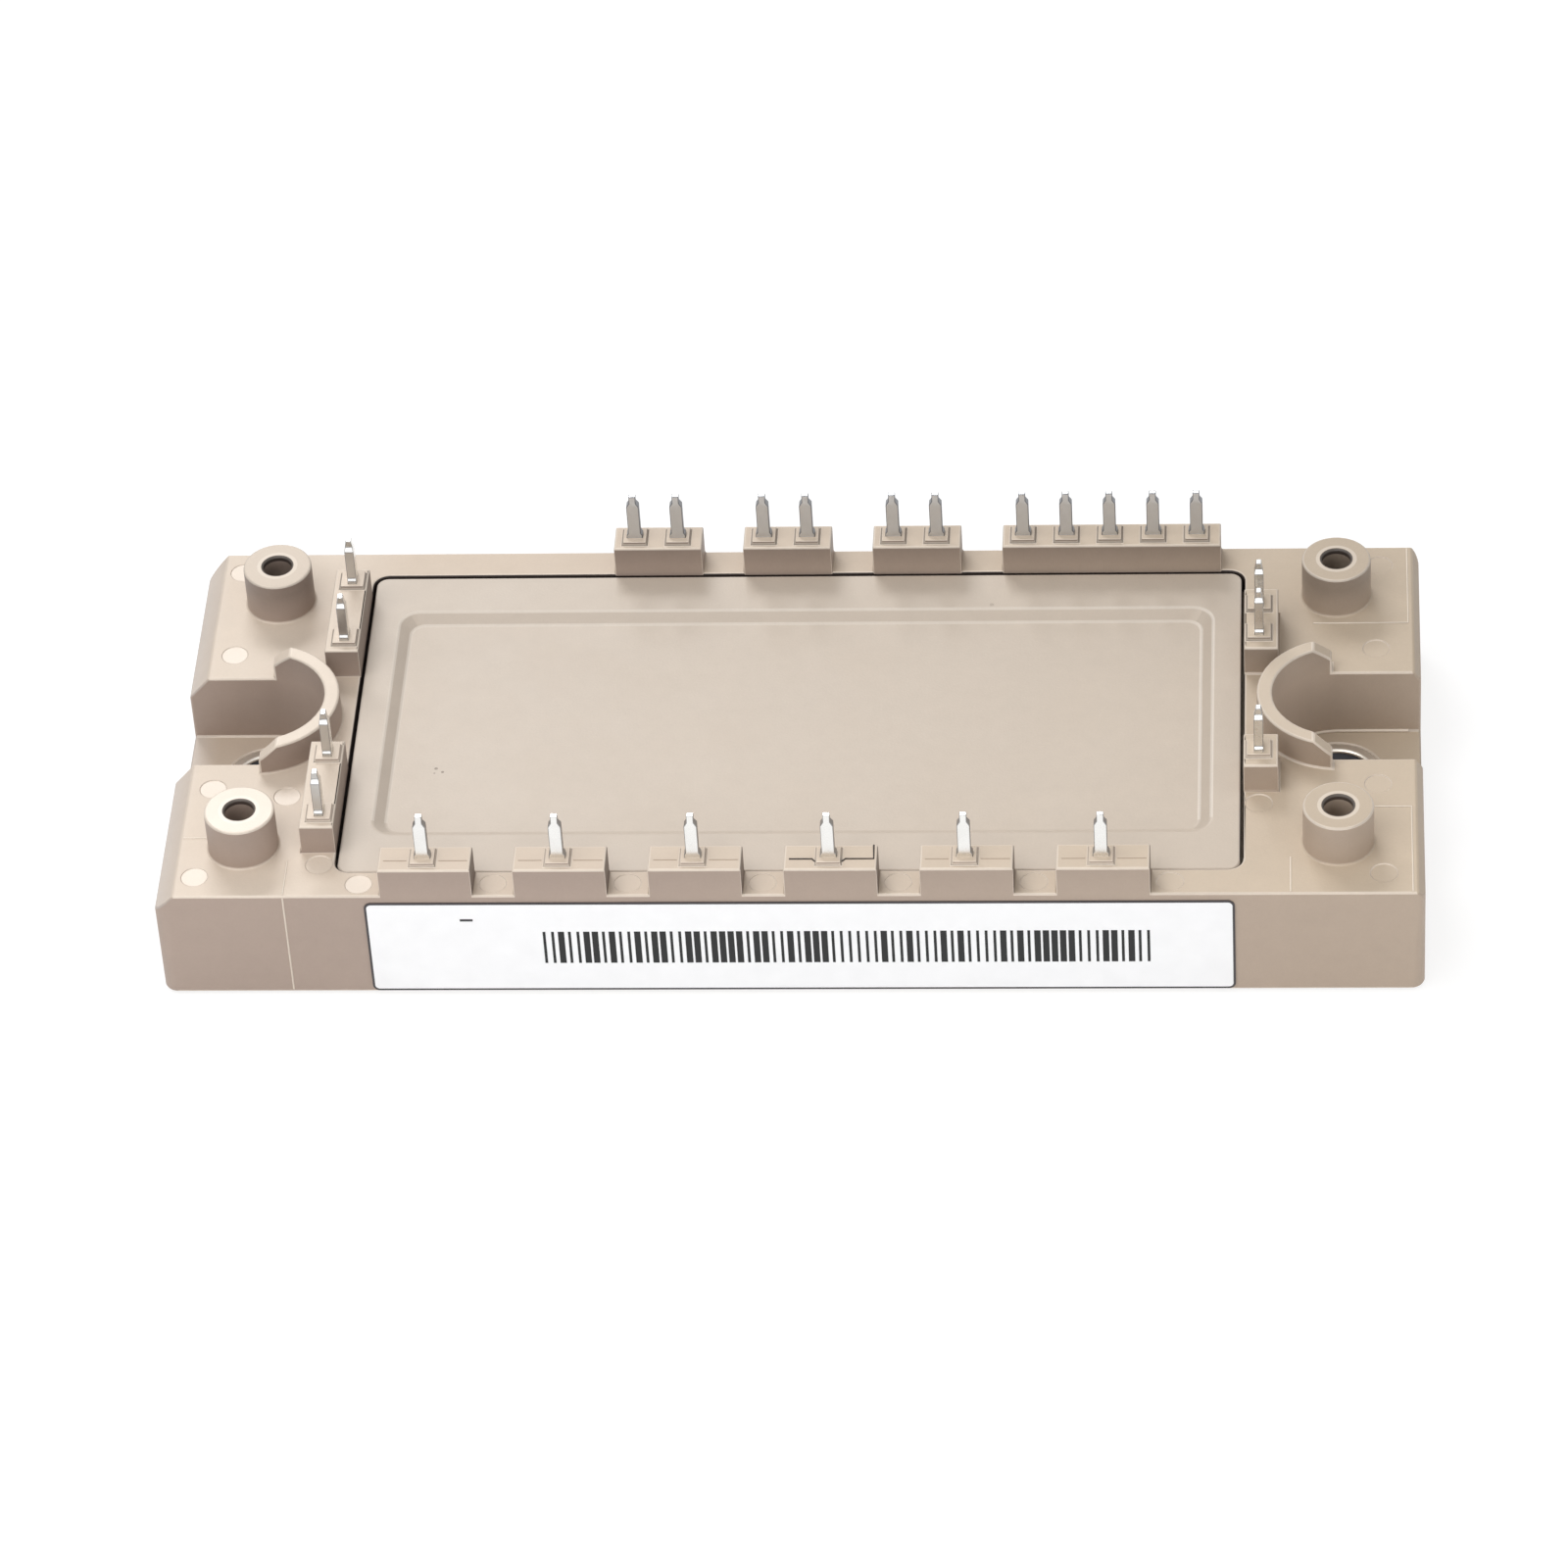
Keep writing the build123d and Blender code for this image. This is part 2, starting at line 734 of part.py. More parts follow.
def make_pieces():
    """Every piece of the module."""
    pieces = {"base_plate": make_base_plate()}
    pins = make_pins()
    pieces["housing"] = make_housing(pins)
    pieces["lid"] = make_lid()
    pieces["label"] = make_label()
    sleeves = both_sides(right_sleeve())
    pieces["screw_sleeve_right"] = sleeves[0]
    pieces["screw_sleeve_left"] = sleeves[1]
    pieces["sealing_bead"] = make_sealing_bead()
    pieces.update(pins)
    inner = {}
    solder_z = plate_thickness
    lower_copper_z = solder_z + solder_thickness
    for side, word in ((-1, "left"), (1, "right")):
        inner[f"solder_{word}"] = substrate_layer(
            side, copper_length, copper_width, solder_z, solder_thickness
        )
        inner[f"lower_copper_{word}"] = substrate_layer(
            side, copper_length, copper_width, lower_copper_z, lower_copper_thickness
        )
        inner[f"ceramic_{word}"] = substrate_layer(
            side, substrate_length, substrate_width, ceramic_z, ceramic_thickness
        )
        inner[f"upper_copper_{word}"] = make_upper_copper(side)
    for number, switch in enumerate(make_switches(), 1):
        inner[f"switch_chip_{number}"] = switch
    inner["freewheel_diodes"] = make_freewheel_diodes()
    inner["rectifier_diodes"] = make_rectifier_diodes()
    inner["thermistor"] = make_thermistor()
    inner["pin_wires"] = pin_wires()
    inner["switch_wires"] = switch_wires()
    inner["diode_wires"] = diode_wires()
    inner["rectifier_wires"] = rectifier_wires()
    pieces.update(inner)
    pieces["silicone_gel"] = make_gel(inner.values())
    return pieces


os.makedirs("parts", exist_ok=True)
for name, piece in make_pieces().items():
    export_step(piece, f"parts/{name}.step")
    print(name, "%.2f mm3" % piece.volume)
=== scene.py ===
# %% [markdown]
# # A power module with solder pins
#
# The object is a flat block of beige plastic, a little longer than a finger, that holds power
# transistors on a cooling plate. Its construction comes ready made: each piece is a mesh with its
# true size and place. This lesson gives the pieces their looks. It rounds the sharp edges, adds what
# the moulding tool left behind, prints the label, mixes the materials and sets up the photograph.
#
# The first cell loads the pieces. Everything is in metres, so sizes below are written as
# millimetres times MM.

# %% Load the pieces
import json
import math

import bmesh
import bpy
from mathutils import Matrix, Vector


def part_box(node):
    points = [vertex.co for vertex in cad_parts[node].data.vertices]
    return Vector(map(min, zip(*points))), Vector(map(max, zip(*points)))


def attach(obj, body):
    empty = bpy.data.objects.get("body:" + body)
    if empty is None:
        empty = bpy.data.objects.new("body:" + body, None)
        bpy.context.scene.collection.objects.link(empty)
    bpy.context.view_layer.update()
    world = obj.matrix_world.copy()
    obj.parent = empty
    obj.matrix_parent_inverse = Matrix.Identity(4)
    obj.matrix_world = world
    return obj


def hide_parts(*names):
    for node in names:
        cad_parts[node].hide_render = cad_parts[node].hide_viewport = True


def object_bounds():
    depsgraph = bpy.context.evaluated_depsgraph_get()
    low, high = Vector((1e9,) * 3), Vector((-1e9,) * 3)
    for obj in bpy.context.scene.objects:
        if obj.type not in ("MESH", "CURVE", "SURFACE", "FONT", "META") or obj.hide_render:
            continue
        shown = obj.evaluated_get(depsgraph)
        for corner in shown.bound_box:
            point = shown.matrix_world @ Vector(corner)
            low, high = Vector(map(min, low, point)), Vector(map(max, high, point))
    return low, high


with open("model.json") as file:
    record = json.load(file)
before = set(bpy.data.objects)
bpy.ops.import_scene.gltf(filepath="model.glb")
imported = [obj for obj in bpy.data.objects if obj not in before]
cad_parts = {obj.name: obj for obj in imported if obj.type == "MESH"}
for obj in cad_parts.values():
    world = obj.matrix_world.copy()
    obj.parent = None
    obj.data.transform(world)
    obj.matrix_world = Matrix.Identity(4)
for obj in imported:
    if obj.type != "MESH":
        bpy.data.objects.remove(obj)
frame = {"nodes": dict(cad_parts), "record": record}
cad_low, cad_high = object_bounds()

MM = 0.001
BODY = "root"
nodes = frame["nodes"]
print(len(nodes), "pieces, overall size in mm:", [round(side / MM, 2) for side in cad_high - cad_low])

# %% [markdown]
# ## Sizes that the looks need
#
# The frame knows where every piece is, so most places can be read from it instead of being typed
# in again. The pin rows give the grid, the lid gives the opening, and the two metal sleeves give
# the screw holes.

# %% Read places from the frame
def middle(name):
    """The middle of a piece's box."""
    low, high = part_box(name)
    return (low + high) / 2


def top(name):
    """The height of a piece's highest point."""
    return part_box(name)[1].z


LID_X = middle("lid").x
LID_HALF_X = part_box("lid")[1].x - LID_X
LID_HALF_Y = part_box("lid")[1].y
FRONT_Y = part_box("label")[1].y
SCREW_X = middle("screw_sleeve_right").x
PIN_HALF = 0.4 * MM
ROW_Y = -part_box("pin_front_1")[0].y - PIN_HALF
SIDE_X = -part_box("pin_left_1")[0].x - PIN_HALF
FRONT_PIN_X = [middle(f"pin_front_{number}").x for number in range(1, 7)]
pin_names = sorted(name for name in nodes if name.startswith("pin_") and name != "pin_wires")
pin_places = [(middle(name).x, middle(name).y) for name in pin_names]
print("pin rows at y =", round(ROW_Y / MM, 3), "side pins at x =", round(SIDE_X / MM, 3))

# %% [markdown]
# A box says nothing about what lies inside it, so the levels and places of the housing's own forms
# are written down here once. Most heights are counted from the top face, a hair above the lid, and
# the floor of the wells is counted from the table.

# %% Sizes of the housing's forms
TOP = top("lid") + 0.1 * MM
BLOCK_TOP = TOP + 2.9 * MM
COLLAR_TOP = TOP + 2.85 * MM
STANDOFF_TOP = TOP + 4.1 * MM
STANDOFF_X = 46.5 * MM
STANDOFF_Y = 16.05 * MM
WELL_RADIUS = 5.6 * MM
WELL_FLOOR = 4.6 * MM
COLLAR_REACH = 7.2 * MM
COLLAR_HALF = 8.0 * MM
SEAM_X = 52.7 * MM
print("top face at z =", round(TOP / MM, 3), "mm, standoffs up to", round(STANDOFF_TOP / MM, 3), "mm")

# %% [markdown]
# ## Writing shader maths as plain Python
#
# A material is a little network of nodes. Adding the nodes by hand takes many lines, so two small
# classes do it. A Wire stands for one output of a node, and the usual signs work on it: writing
# `1 - mask * 0.5` adds the two Math nodes. A Recipe is one material. Its `node` method adds any
# node, with its settings first and then what goes into its sockets.

# %% Small helpers for materials
class Wire:
    """One output of a node, with the arithmetic signs for numbers."""

    def __init__(self, network, socket):
        self.network = network
        self.socket = socket

    def math(self, operation, *others, first=None):
        values = [self if first is None else first, *others]
        return self.network.node("ShaderNodeMath", {"operation": operation}, *values)

    def __add__(self, other):
        return self.math("ADD", other)

    def __sub__(self, other):
        return self.math("SUBTRACT", other)

    def __mul__(self, other):
        return self.math("MULTIPLY", other)

    def __rsub__(self, other):
        return self.math("SUBTRACT", self, first=other)

    __radd__ = __add__
    __rmul__ = __mul__

    def above(self, limit):
        return self.math("GREATER_THAN", limit)

    def below(self, limit):
        return self.math("LESS_THAN", limit)

    def distance_to(self, value):
        return (self - value).math("ABSOLUTE")


class Network:
    """A shader network. Its node method adds any kind of node."""

    def __init__(self, tree):
        self.tree = tree

    def node(self, kind, settings, *values, output=0, **named):
        made = self.tree.nodes.new(kind)
        for key, value in settings.items():
            setattr(made, key, value)
        sockets = dict(enumerate(values))
        sockets.update((key.replace("_", " "), value) for key, value in named.items())
        for key, value in sockets.items():
            self.plug(value, made.inputs[key])
        return Wire(self, made.outputs[output])

    def plug(self, value, socket):
        """A wire is linked, None leaves the socket alone, anything else is its value."""
        if isinstance(value, Wire):
            self.tree.links.new(value.socket, socket)
        elif value is not None:
            socket.default_value = value


class Recipe(Network):
    """A material with a Principled shader, and the coordinates of the piece that wears it."""

    def __init__(self, name, metallic=0.0, roughness=0.5):
        self.material = bpy.data.materials.new(name)
        self.material.use_nodes = True
        super().__init__(self.material.node_tree)
        self.shader = self.tree.nodes["Principled BSDF"]
        self.feed(Metallic=metallic, Roughness=roughness, IOR=1.5)
        self.place = self.node("ShaderNodeTexCoord", {}, output="Object")
        self.normal = self.node("ShaderNodeTexCoord", {}, output="Normal")

    def split(self, vector):
        """The x, y and z of a vector."""
        made = self.node("ShaderNodeSeparateXYZ", {}, vector).socket.node
        return [Wire(self, made.outputs[axis]) for axis in range(3)]

    def noise(self, size, detail=3.0, stretch=(1, 1, 1)):
        """Cloudy noise whose blobs are about as large as size."""
        scaled = self.node("ShaderNodeVectorMath", {"operation": "MULTIPLY"}, self.place, stretch)
        return self.node("ShaderNodeTexNoise", {}, Vector=scaled, Scale=1 / size, Detail=detail)

    def rise(self, value, start, end):
        """0 before start, 1 past end, and a straight rise between them."""
        return self.node("ShaderNodeMapRange", {}, value, start, end)

    def mix(self, factor, first, second):
        """A colour between two colours."""
        made = self.node("ShaderNodeMix", {"data_type": "RGBA"}, factor, output=2)
        self.plug(first, made.socket.node.inputs[6])
        self.plug(second, made.socket.node.inputs[7])
        return made

    def attribute(self, name):
        return self.node("ShaderNodeAttribute", {"attribute_name": name}, output="Fac")

    def bump(self, height, depth, normal=None):
        """Surface relief from a height between 0 and 1, as deep as depth."""
        return self.node("ShaderNodeBump", {}, Distance=depth, Height=height, Normal=normal)

    def feed(self, **sockets):
        """Values or wires for the Principled shader's sockets."""
        for key, value in sockets.items():
            self.plug(value, self.shader.inputs[key.replace("_", " ")])


def to_light(channel):
    """A channel as it looks on screen, from 0 to 255, turned into light."""
    part = channel / 255
    return part / 12.92 if part <= 0.04045 else ((part + 0.055) / 1.055) ** 2.4


def color(red, green, blue):
    """A colour given as it looks on screen."""
    return (to_light(red), to_light(green), to_light(blue), 1.0)


# %% [markdown]
# ## Rounded edges
#
# No moulded or stamped edge is perfectly sharp, and the thin highlight along an edge is what makes a
# render look solid. The construction pieces have sharp edges, and they may not be changed, so each
# visible piece gets a finer copy: its loose triangles are merged, flat areas are joined into whole
# faces, and a Bevel modifier rounds the edges that meet at an angle. The faces that the bevel makes
# are remembered in an attribute called edge, so that a material can treat them apart.

# %% A finer copy of a piece
SHARP_ANGLE = math.radians(28)
FLAT_ANGLE = math.radians(0.6)
ROUND_SEGMENTS = 2


def join_flat_areas(shape):
    """Joins coplanar faces, then cuts faces of many corners into clean triangles."""
    bmesh.ops.dissolve_limit(shape, angle_limit=FLAT_ANGLE, verts=shape.verts, edges=shape.edges)
    many = [face for face in shape.faces if len(face.verts) > 4]
    bmesh.ops.triangulate(shape, faces=many, ngon_method="BEAUTY")


def merged_copy(node_name, name):
    """A new object with the node's mesh, its loose triangles merged and its flat areas joined."""
    mesh = nodes[node_name].data.copy()
    mesh.name = name
    mesh.materials.clear()
    shape = bmesh.new()
    shape.from_mesh(mesh)
    bmesh.ops.remove_doubles(shape, verts=shape.verts, dist=0.0005 * MM)
    join_flat_areas(shape)
    shape.to_mesh(mesh)
    shape.free()
    piece = bpy.data.objects.new(name, mesh)
    bpy.context.scene.collection.objects.link(piece)
    return piece


def apply_modifiers(piece):
    """The modifiers' result becomes the piece's own mesh."""
    evaluated = piece.evaluated_get(bpy.context.evaluated_depsgraph_get())
    mesh = bpy.data.meshes.new_from_object(evaluated)
    piece.modifiers.clear()
    piece.data = mesh


def is_curved(face):
    """True for a facet of a round surface, which meets its neighbours at a small angle."""
    angles = [edge.calc_face_angle(0) for edge in face.edges]
    return any(FLAT_ANGLE < angle < SHARP_ANGLE for angle in angles)


def round_edges(piece, width, share=None):
    """Rounds sharp edges. share(edge) tells how much of the width an edge gets, from 0 to 1."""
    shape = bmesh.new()
    shape.from_mesh(piece.data)
    join_flat_areas(shape)
    weight = shape.edges.layers.float.new("bevel_weight_edge")
    count = 0
    for edge in shape.edges:
        if edge.calc_face_angle(0) > SHARP_ANGLE:
            edge[weight] = share(edge) if share else 1.0
            edge.smooth = False
            count += edge[weight] > 0
    for face in shape.faces:
        face.smooth = is_curved(face)
    shape.to_mesh(piece.data)
    shape.free()
    piece.data.materials.clear()
    piece.data.materials.append(None)
    piece.data.materials.append(None)
    bevel = piece.modifiers.new("round edges", "BEVEL")
    bevel.limit_method = "WEIGHT"
    bevel.width = width
    bevel.segments = ROUND_SEGMENTS
    bevel.use_clamp_overlap = False
    bevel.loop_slide = False
    bevel.material = 1
    apply_modifiers(piece)
    mark_rounds(piece)
    return count


def mark_rounds(piece):
    """Keeps which faces are rounds in the attribute edge, and stops their shading at their border."""
    shape = bmesh.new()
    shape.from_mesh(piece.data)
    for face in shape.faces:
        if face.material_index == 1:
            face.smooth = True
    for edge in shape.edges:
        kinds = {face.material_index for face in edge.link_faces}
        edge.smooth = kinds == {1} or (len(kinds) == 1 and edge.calc_face_angle(0) < SHARP_ANGLE)
    shape.to_mesh(piece.data)
    shape.free()
    mark = piece.data.attributes.new("edge", "FLOAT", "FACE")
    mark.data.foreach_set("value", [float(face.material_index == 1) for face in piece.data.polygons])
    for face in piece.data.polygons:
        face.material_index = 0
    piece.data.materials.clear()


# %% [markdown]
# ## What the moulding tool leaves behind
#
# A moulded part is pushed out of its tool by round steel pins, and each leaves a shallow round mark.
# Eighteen of them are on the top of this housing. They repeat, so Geometry Nodes make them: the tree
# puts one short cylinder on each vertex of a mesh that only holds the places. The cylinders are then
# cut out of the housing with a Boolean modifier.

# %% Geometry Nodes helpers
class Tree:
    """A Geometry Nodes tree with named inputs."""

    KINDS = {"length": "NodeSocketFloat", "count": "NodeSocketInt", "material": "NodeSocketMaterial"}

    def __init__(self, name):
        self.group = bpy.data.node_groups.new(name, "GeometryNodeTree")
        self.group.interface.new_socket("Geometry", in_out="INPUT", socket_type="NodeSocketGeometry")
        self.group.interface.new_socket("Geometry", in_out="OUTPUT", socket_type="NodeSocketGeometry")
        self.start = self.group.nodes.new("NodeGroupInput")
        self.end = self.group.nodes.new("NodeGroupOutput")
        self.sockets = {}

    def given(self, name, kind):
        """A named input, such as a size, and the output that carries it into the tree."""
        made = self.group.interface.new_socket(name, in_out="INPUT", socket_type=self.KINDS[kind])
        self.sockets[name] = made.identifier
        return self.start.outputs[made.identifier]

    def node(self, kind, settings=None, **inputs):
        made = self.group.nodes.new(kind)
        for key, value in (settings or {}).items():
            setattr(made, key, value)
        for key, value in inputs.items():
            self.link(value, made.inputs[key.replace("_", " ")])
        return made

    def link(self, value, socket):
        if isinstance(value, bpy.types.NodeSocket):
            self.group.links.new(value, socket)
        else:
            socket.default_value = value

    def finish(self, geometry, material):
        """Real mesh with its material at the end of the tree."""
        real = self.node("GeometryNodeRealizeInstances", Geometry=geometry)
        dressed = self.node("GeometryNodeSetMaterial", Geometry=real.outputs[0], Material=material)
        self.group.links.new(dressed.outputs[0], self.end.inputs[0])


def grow(name, vertices, edges, tree, **values):
    """Runs a tree on a mesh of bare points and lines, and keeps the result as a plain mesh."""
    seed = bpy.data.meshes.new(name)
    seed.from_pydata(vertices, edges, [])
    piece = bpy.data.objects.new(name, seed)
    bpy.context.scene.collection.objects.link(piece)
    modifier = piece.modifiers.new(tree.group.name, "NODES")
    modifier.node_group = tree.group
    for key, value in values.items():
        modifier[tree.sockets[key.replace("_", " ")]] = value
    apply_modifiers(piece)
    print(name, "has", len(piece.data.polygons), "faces")
    return piece


# %% Places of the ejector marks
MARK_RADIUS = 1.15 * MM
MARK_DEPTH = 0.07 * MM
PITCH = FRONT_PIN_X[1] - FRONT_PIN_X[0]

mark_places = [(x * 50.3 * MM, y * 20.0 * MM) for x in (-1, 1) for y in (-1, 1)]
mark_places += [(x * 49.9 * MM, y * 8.8 * MM) for x in (-1, 1) for y in (-1, 1)]
mark_places += [(FRONT_PIN_X[0] + (step - 0.5) * PITCH, -ROW_Y) for step in range(7)]
mark_places += [(-SIDE_X, -18.5 * MM), (SIDE_X, -11.2 * MM), (-43.4 * MM, -9.8 * MM)]
print(len(mark_places), "ejector marks")


# %% One cylinder on each place
def mark_tree():
    tree = Tree("ejector marks")
    radius = tree.given("Radius", "length")
    depth = tree.given("Depth", "length")
    material = tree.given("Material", "material")
    disc = tree.node(
        "GeometryNodeMeshCylinder", {"fill_type": "NGON"}, Vertices=36, Radius=radius, Depth=depth
    )
    spread = tree.node(
        "GeometryNodeInstanceOnPoints",
        Points=tree.start.outputs["Geometry"],
        Instance=disc.outputs["Mesh"],
    )
    tree.finish(spread.outputs["Instances"], material)
    return tree


mark_material = bpy.data.materials.new("mark_cutter")
marks = grow(
    "ejector_mark_cutter",
    [(x, y, TOP) for x, y in mark_places],
    [],
    mark_tree(),
    Radius=MARK_RADIUS,
    Depth=2 * MARK_DEPTH,
    Material=mark_material,
)

# %% [markdown]
# ## The housing
#
# The housing is one moulding, with its wells, collars, standoffs and pin blocks. The bevel's width
# has to follow what an edge is. Outlines that can be seen get the full round. The rims of the marks
# and the small sleeves at the pins get a third of it, because more would swallow them. The pockets
# round the feet of the pins are inside the plastic, so their edges stay as they are.

# %% How much of the round an edge gets
EDGE_ROUND = 0.17 * MM
FINE_SHARE = 0.3
CLOSE = 0.01 * MM


def on_a_mark(edge):
    """True for an edge on the rim of an ejector mark."""
    here = edge.verts[0].co
    return any(math.hypot(here.x - x, here.y - y) < MARK_RADIUS + 0.05 * MM for x, y in mark_places)


def near_a_pin(edge):
    """True when both ends of an edge are closer to a pin than the blocks' outline is."""
    reach = 1.2 * MM
    return any(
        all(max(abs(vertex.co.x - x), abs(vertex.co.y - y)) < reach for vertex in edge.verts)
        for x, y in pin_places
    )


def is_block_outline(edge):
    """True for the outline of a pin block's top, false for the boss and the slot round a pin."""
    return all(abs(vertex.co.z - BLOCK_TOP) < CLOSE for vertex in edge.verts) and not near_a_pin(edge)


def housing_share(edge):
    """Full rounds on what can be seen, small ones on the marks and at the pins, none inside."""
    low = min(vertex.co.z for vertex in edge.verts)
    high = max(vertex.co.z for vertex in edge.verts)
    x = max(abs(vertex.co.x) for vertex in edge.verts)
    y = max(abs(vertex.co.y) for vertex in edge.verts)
    if low > TOP - 1.5 * MARK_DEPTH and high < TOP + CLOSE and on_a_mark(edge):
        return FINE_SHARE
    if high > BLOCK_TOP - CLOSE and (y > LID_HALF_Y or abs(x - SIDE_X) < 2 * MM):
        return 1.0 if is_block_outline(edge) else FINE_SHARE
    on_top = low > TOP - 0.2 * MM
    in_well = x > SCREW_X - COLLAR_REACH and y < COLLAR_HALF and low > WELL_FLOOR - 0.2 * MM
    outside = x > cad_high.x - 2.5 * MM or y > cad_high.y - 2.2 * MM
    return float(on_top or in_well or (outside and low > 0.25 * MM))


# %% [markdown]
# The top slopes down at both ends. In the construction the two slopes are alike, but the real one is
# wide at the left and narrow at the right. All corners of a slope lie on its upper or lower edge or
# between them, so it is enough to move those corners, and no face has to be made anew.

# %% End bevels of their own size
CAD_BEVEL = Vector((1.2, 0.0, 1.6)) * MM
LEFT_BEVEL = Vector((1.8, 0.0, 2.1)) * MM
RIGHT_BEVEL = Vector((0.6, 0.0, 0.9)) * MM
ON_THE_BEVEL = 0.02 * MM


def reshape(piece, move):
    """Sets each corner of a piece to move(corner)."""
    moved = 0
    for vertex in piece.data.vertices:
        place = move(vertex.co)
        moved += (place - vertex.co).length > 0.001 * MM
        vertex.co = place
    return moved


def bevel_end(corner):
    """The corners along an end bevel, moved so that the bevel gets its own run and drop."""
    left = corner.x < 0
    bevel = LEFT_BEVEL if left else RIGHT_BEVEL
    reach = abs(corner.x)
    above_slope = abs(reach - (cad_high.x - CAD_BEVEL.x)) < ON_THE_BEVEL
    on_upper_edge = above_slope and corner.z > TOP - ON_THE_BEVEL
    slope = (TOP - corner.z) / CAD_BEVEL.z
    on_slope = abs(reach - (cad_high.x - CAD_BEVEL.x * (1 - slope))) < ON_THE_BEVEL
    place = corner.copy()
    if on_upper_edge or (on_slope and -0.01 < slope < 1.01):
        place.z = TOP - bevel.z * slope
        place.x = (cad_high.x - bevel.x * (1 - slope)) * (-1 if left else 1)
    return place


housing = merged_copy("housing", "housing_body")
print(reshape(housing, bevel_end), "corners of the end bevels moved")

# %% [markdown]
# The marks are cut before the edges are rounded, so that they get soft rims too. The Boolean's exact
# solver is slower than the fast one, but it leaves no stray faces where a mark meets a corner.

# %% Cut the marks and round the edges
housing.data.materials.append(None)
cut = housing.modifiers.new("cut the marks", "BOOLEAN")
cut.object = marks
cut.operation = "DIFFERENCE"
cut.solver = "EXACT"
apply_modifiers(housing)
bpy.data.objects.remove(marks)
rounded = round_edges(housing, EDGE_ROUND, share=housing_share)
print("housing:", rounded, "edges rounded,", len(housing.data.polygons), "faces")

# %% [markdown]
# A mould isn't equally smooth everywhere, and light falls unevenly on it. A material can't know which
# face is a mark or a gap, so the script works it out from each face's place and direction. It writes
# the answer as a number on the face, and the plastic reads two such numbers: one for smoothness
# together with painted highlight and painted light, one for painted shade.

# %% Polished faces and painted highlights
def remember(piece, name, test):
    """Writes test(centre, normal) on each face, and counts the faces that got more than 0."""
    layer = piece.data.attributes.new(name, "FLOAT", "FACE")
    values = [float(test(face.center, face.normal)) for face in piece.data.polygons]
    layer.data.foreach_set("value", values)
    return sum(value > 0 for value in values)


def is_gap(centre, normal, front):
    """The walls of the narrow gap between lid and housing, at the front or on the other sides."""
    near = max(abs(centre.x - LID_X) - LID_HALF_X, abs(centre.y) - LID_HALF_Y)
    at_front = centre.y < 2 * MM - LID_HALF_Y
    upright = abs(normal.z) < 0.7
    return upright and at_front == front and -0.1 * MM < near < 0.5 * MM and centre.z < TOP - 0.1 * MM


def polish(centre, normal):
    """Marks, standoffs and collars were pressed by smooth steel; their paler tone is painted highlight,
    strongest at the left front, and the front gap gets painted light.
    """
    # Painted light: the front gap's walls are made pale against the shade inside it.
    if is_gap(centre, normal, front=True):
        return 1.6
    if normal.z < 0.9:
        return 0.0
    left = centre.x < -30 * MM
    if abs(centre.z - COLLAR_TOP) < 0.02 * MM and abs(centre.y) < COLLAR_HALF:
        return 0.45 if left else 0.35
    if centre.z > STANDOFF_TOP - 0.05 * MM:
        return 1.0 if left and centre.y < 0 else 0.0
    # The marks: painted highlight, strong at the left, slight at the right.
    if TOP - 1.5 * MARK_DEPTH < centre.z < TOP - 0.5 * MARK_DEPTH:
        return 1.0 if left else 0.12
    return 0.0


print(remember(housing, "polish", polish), "polished faces")

# %% Faces with painted shade
def painted_shade(centre, normal):
    """Painted shade: the gap is black, the feet of the pins and some walls are brown."""
    if is_gap(centre, normal, front=False):
        return 1.0
    if centre.z < TOP:
        return 0.0
    over_gap = abs(centre.x - LID_X) - LID_HALF_X
    facing_lid = normal.x > 0.9 and centre.x < 0 and 0 < over_gap < 0.5 * MM
    right_of_block = normal.x > 0.9 and centre.y < -LID_HALF_Y and abs(centre.x) < LID_HALF_X
    foot = abs(normal.z) < 0.3 and centre.z > BLOCK_TOP and any(
        math.hypot(centre.x - x, centre.y - y) < 1.3 * MM for x, y in pin_places
    )
    return max(0.3 * facing_lid, 0.6 * right_of_block, 0.6 * foot)


print(remember(housing, "dark", painted_shade), "dark faces")

# %% Rounds without the painted highlight
LEFT_PALE_END = -51.6 * MM


def soften(piece, test):
    """Takes the painted highlight off the rounds for which test(centre) is true."""
    layer = piece.data.attributes["edge"]
    count = 0
    for face, entry in zip(piece.data.polygons, layer.data):
        if entry.value > 0 and test(face.center):
            entry.value = 0.0
            count += 1
    return count


def is_plain_round(centre):
    """Rounds at the far ends and at the feet of blocks and standoffs."""
    at_an_end = centre.x > SEAM_X or centre.x < LEFT_PALE_END
    at_foot = TOP + 0.005 * MM < centre.z < TOP + EDGE_ROUND
    right_collar = centre.x > 0 and abs(centre.y) < COLLAR_HALF
    return at_an_end or (at_foot and not right_collar)


print(soften(housing, is_plain_round), "plain rounds")
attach(housing, BODY)
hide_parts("housing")

# %% [markdown]
# ## Seams of the tool
#
# Where two steel inserts of the moulding tool meet, a little plastic creeps into the gap. It stays on
# the part as a raised line no wider than a hair. The lines are drawn as chains of points, and
# Geometry Nodes sweep a small round profile along them. Half of the profile is under the surface.

# %% A tree that sweeps a line
SEAM_RADIUS = 0.08 * MM


def seam_tree():
    tree = Tree("seam lines")
    radius = tree.given("Radius", "length")
    material = tree.given("Material", "material")
    path = tree.node("GeometryNodeMeshToCurve", Mesh=tree.start.outputs["Geometry"])
    profile = tree.node("GeometryNodeCurvePrimitiveCircle", Resolution=6, Radius=radius)
    swept = tree.node(
        "GeometryNodeCurveToMesh",
        Curve=path.outputs["Curve"],
        Profile_Curve=profile.outputs["Curve"],
        Fill_Caps=True,
    )
    tree.finish(swept.outputs["Mesh"], material)
    return tree


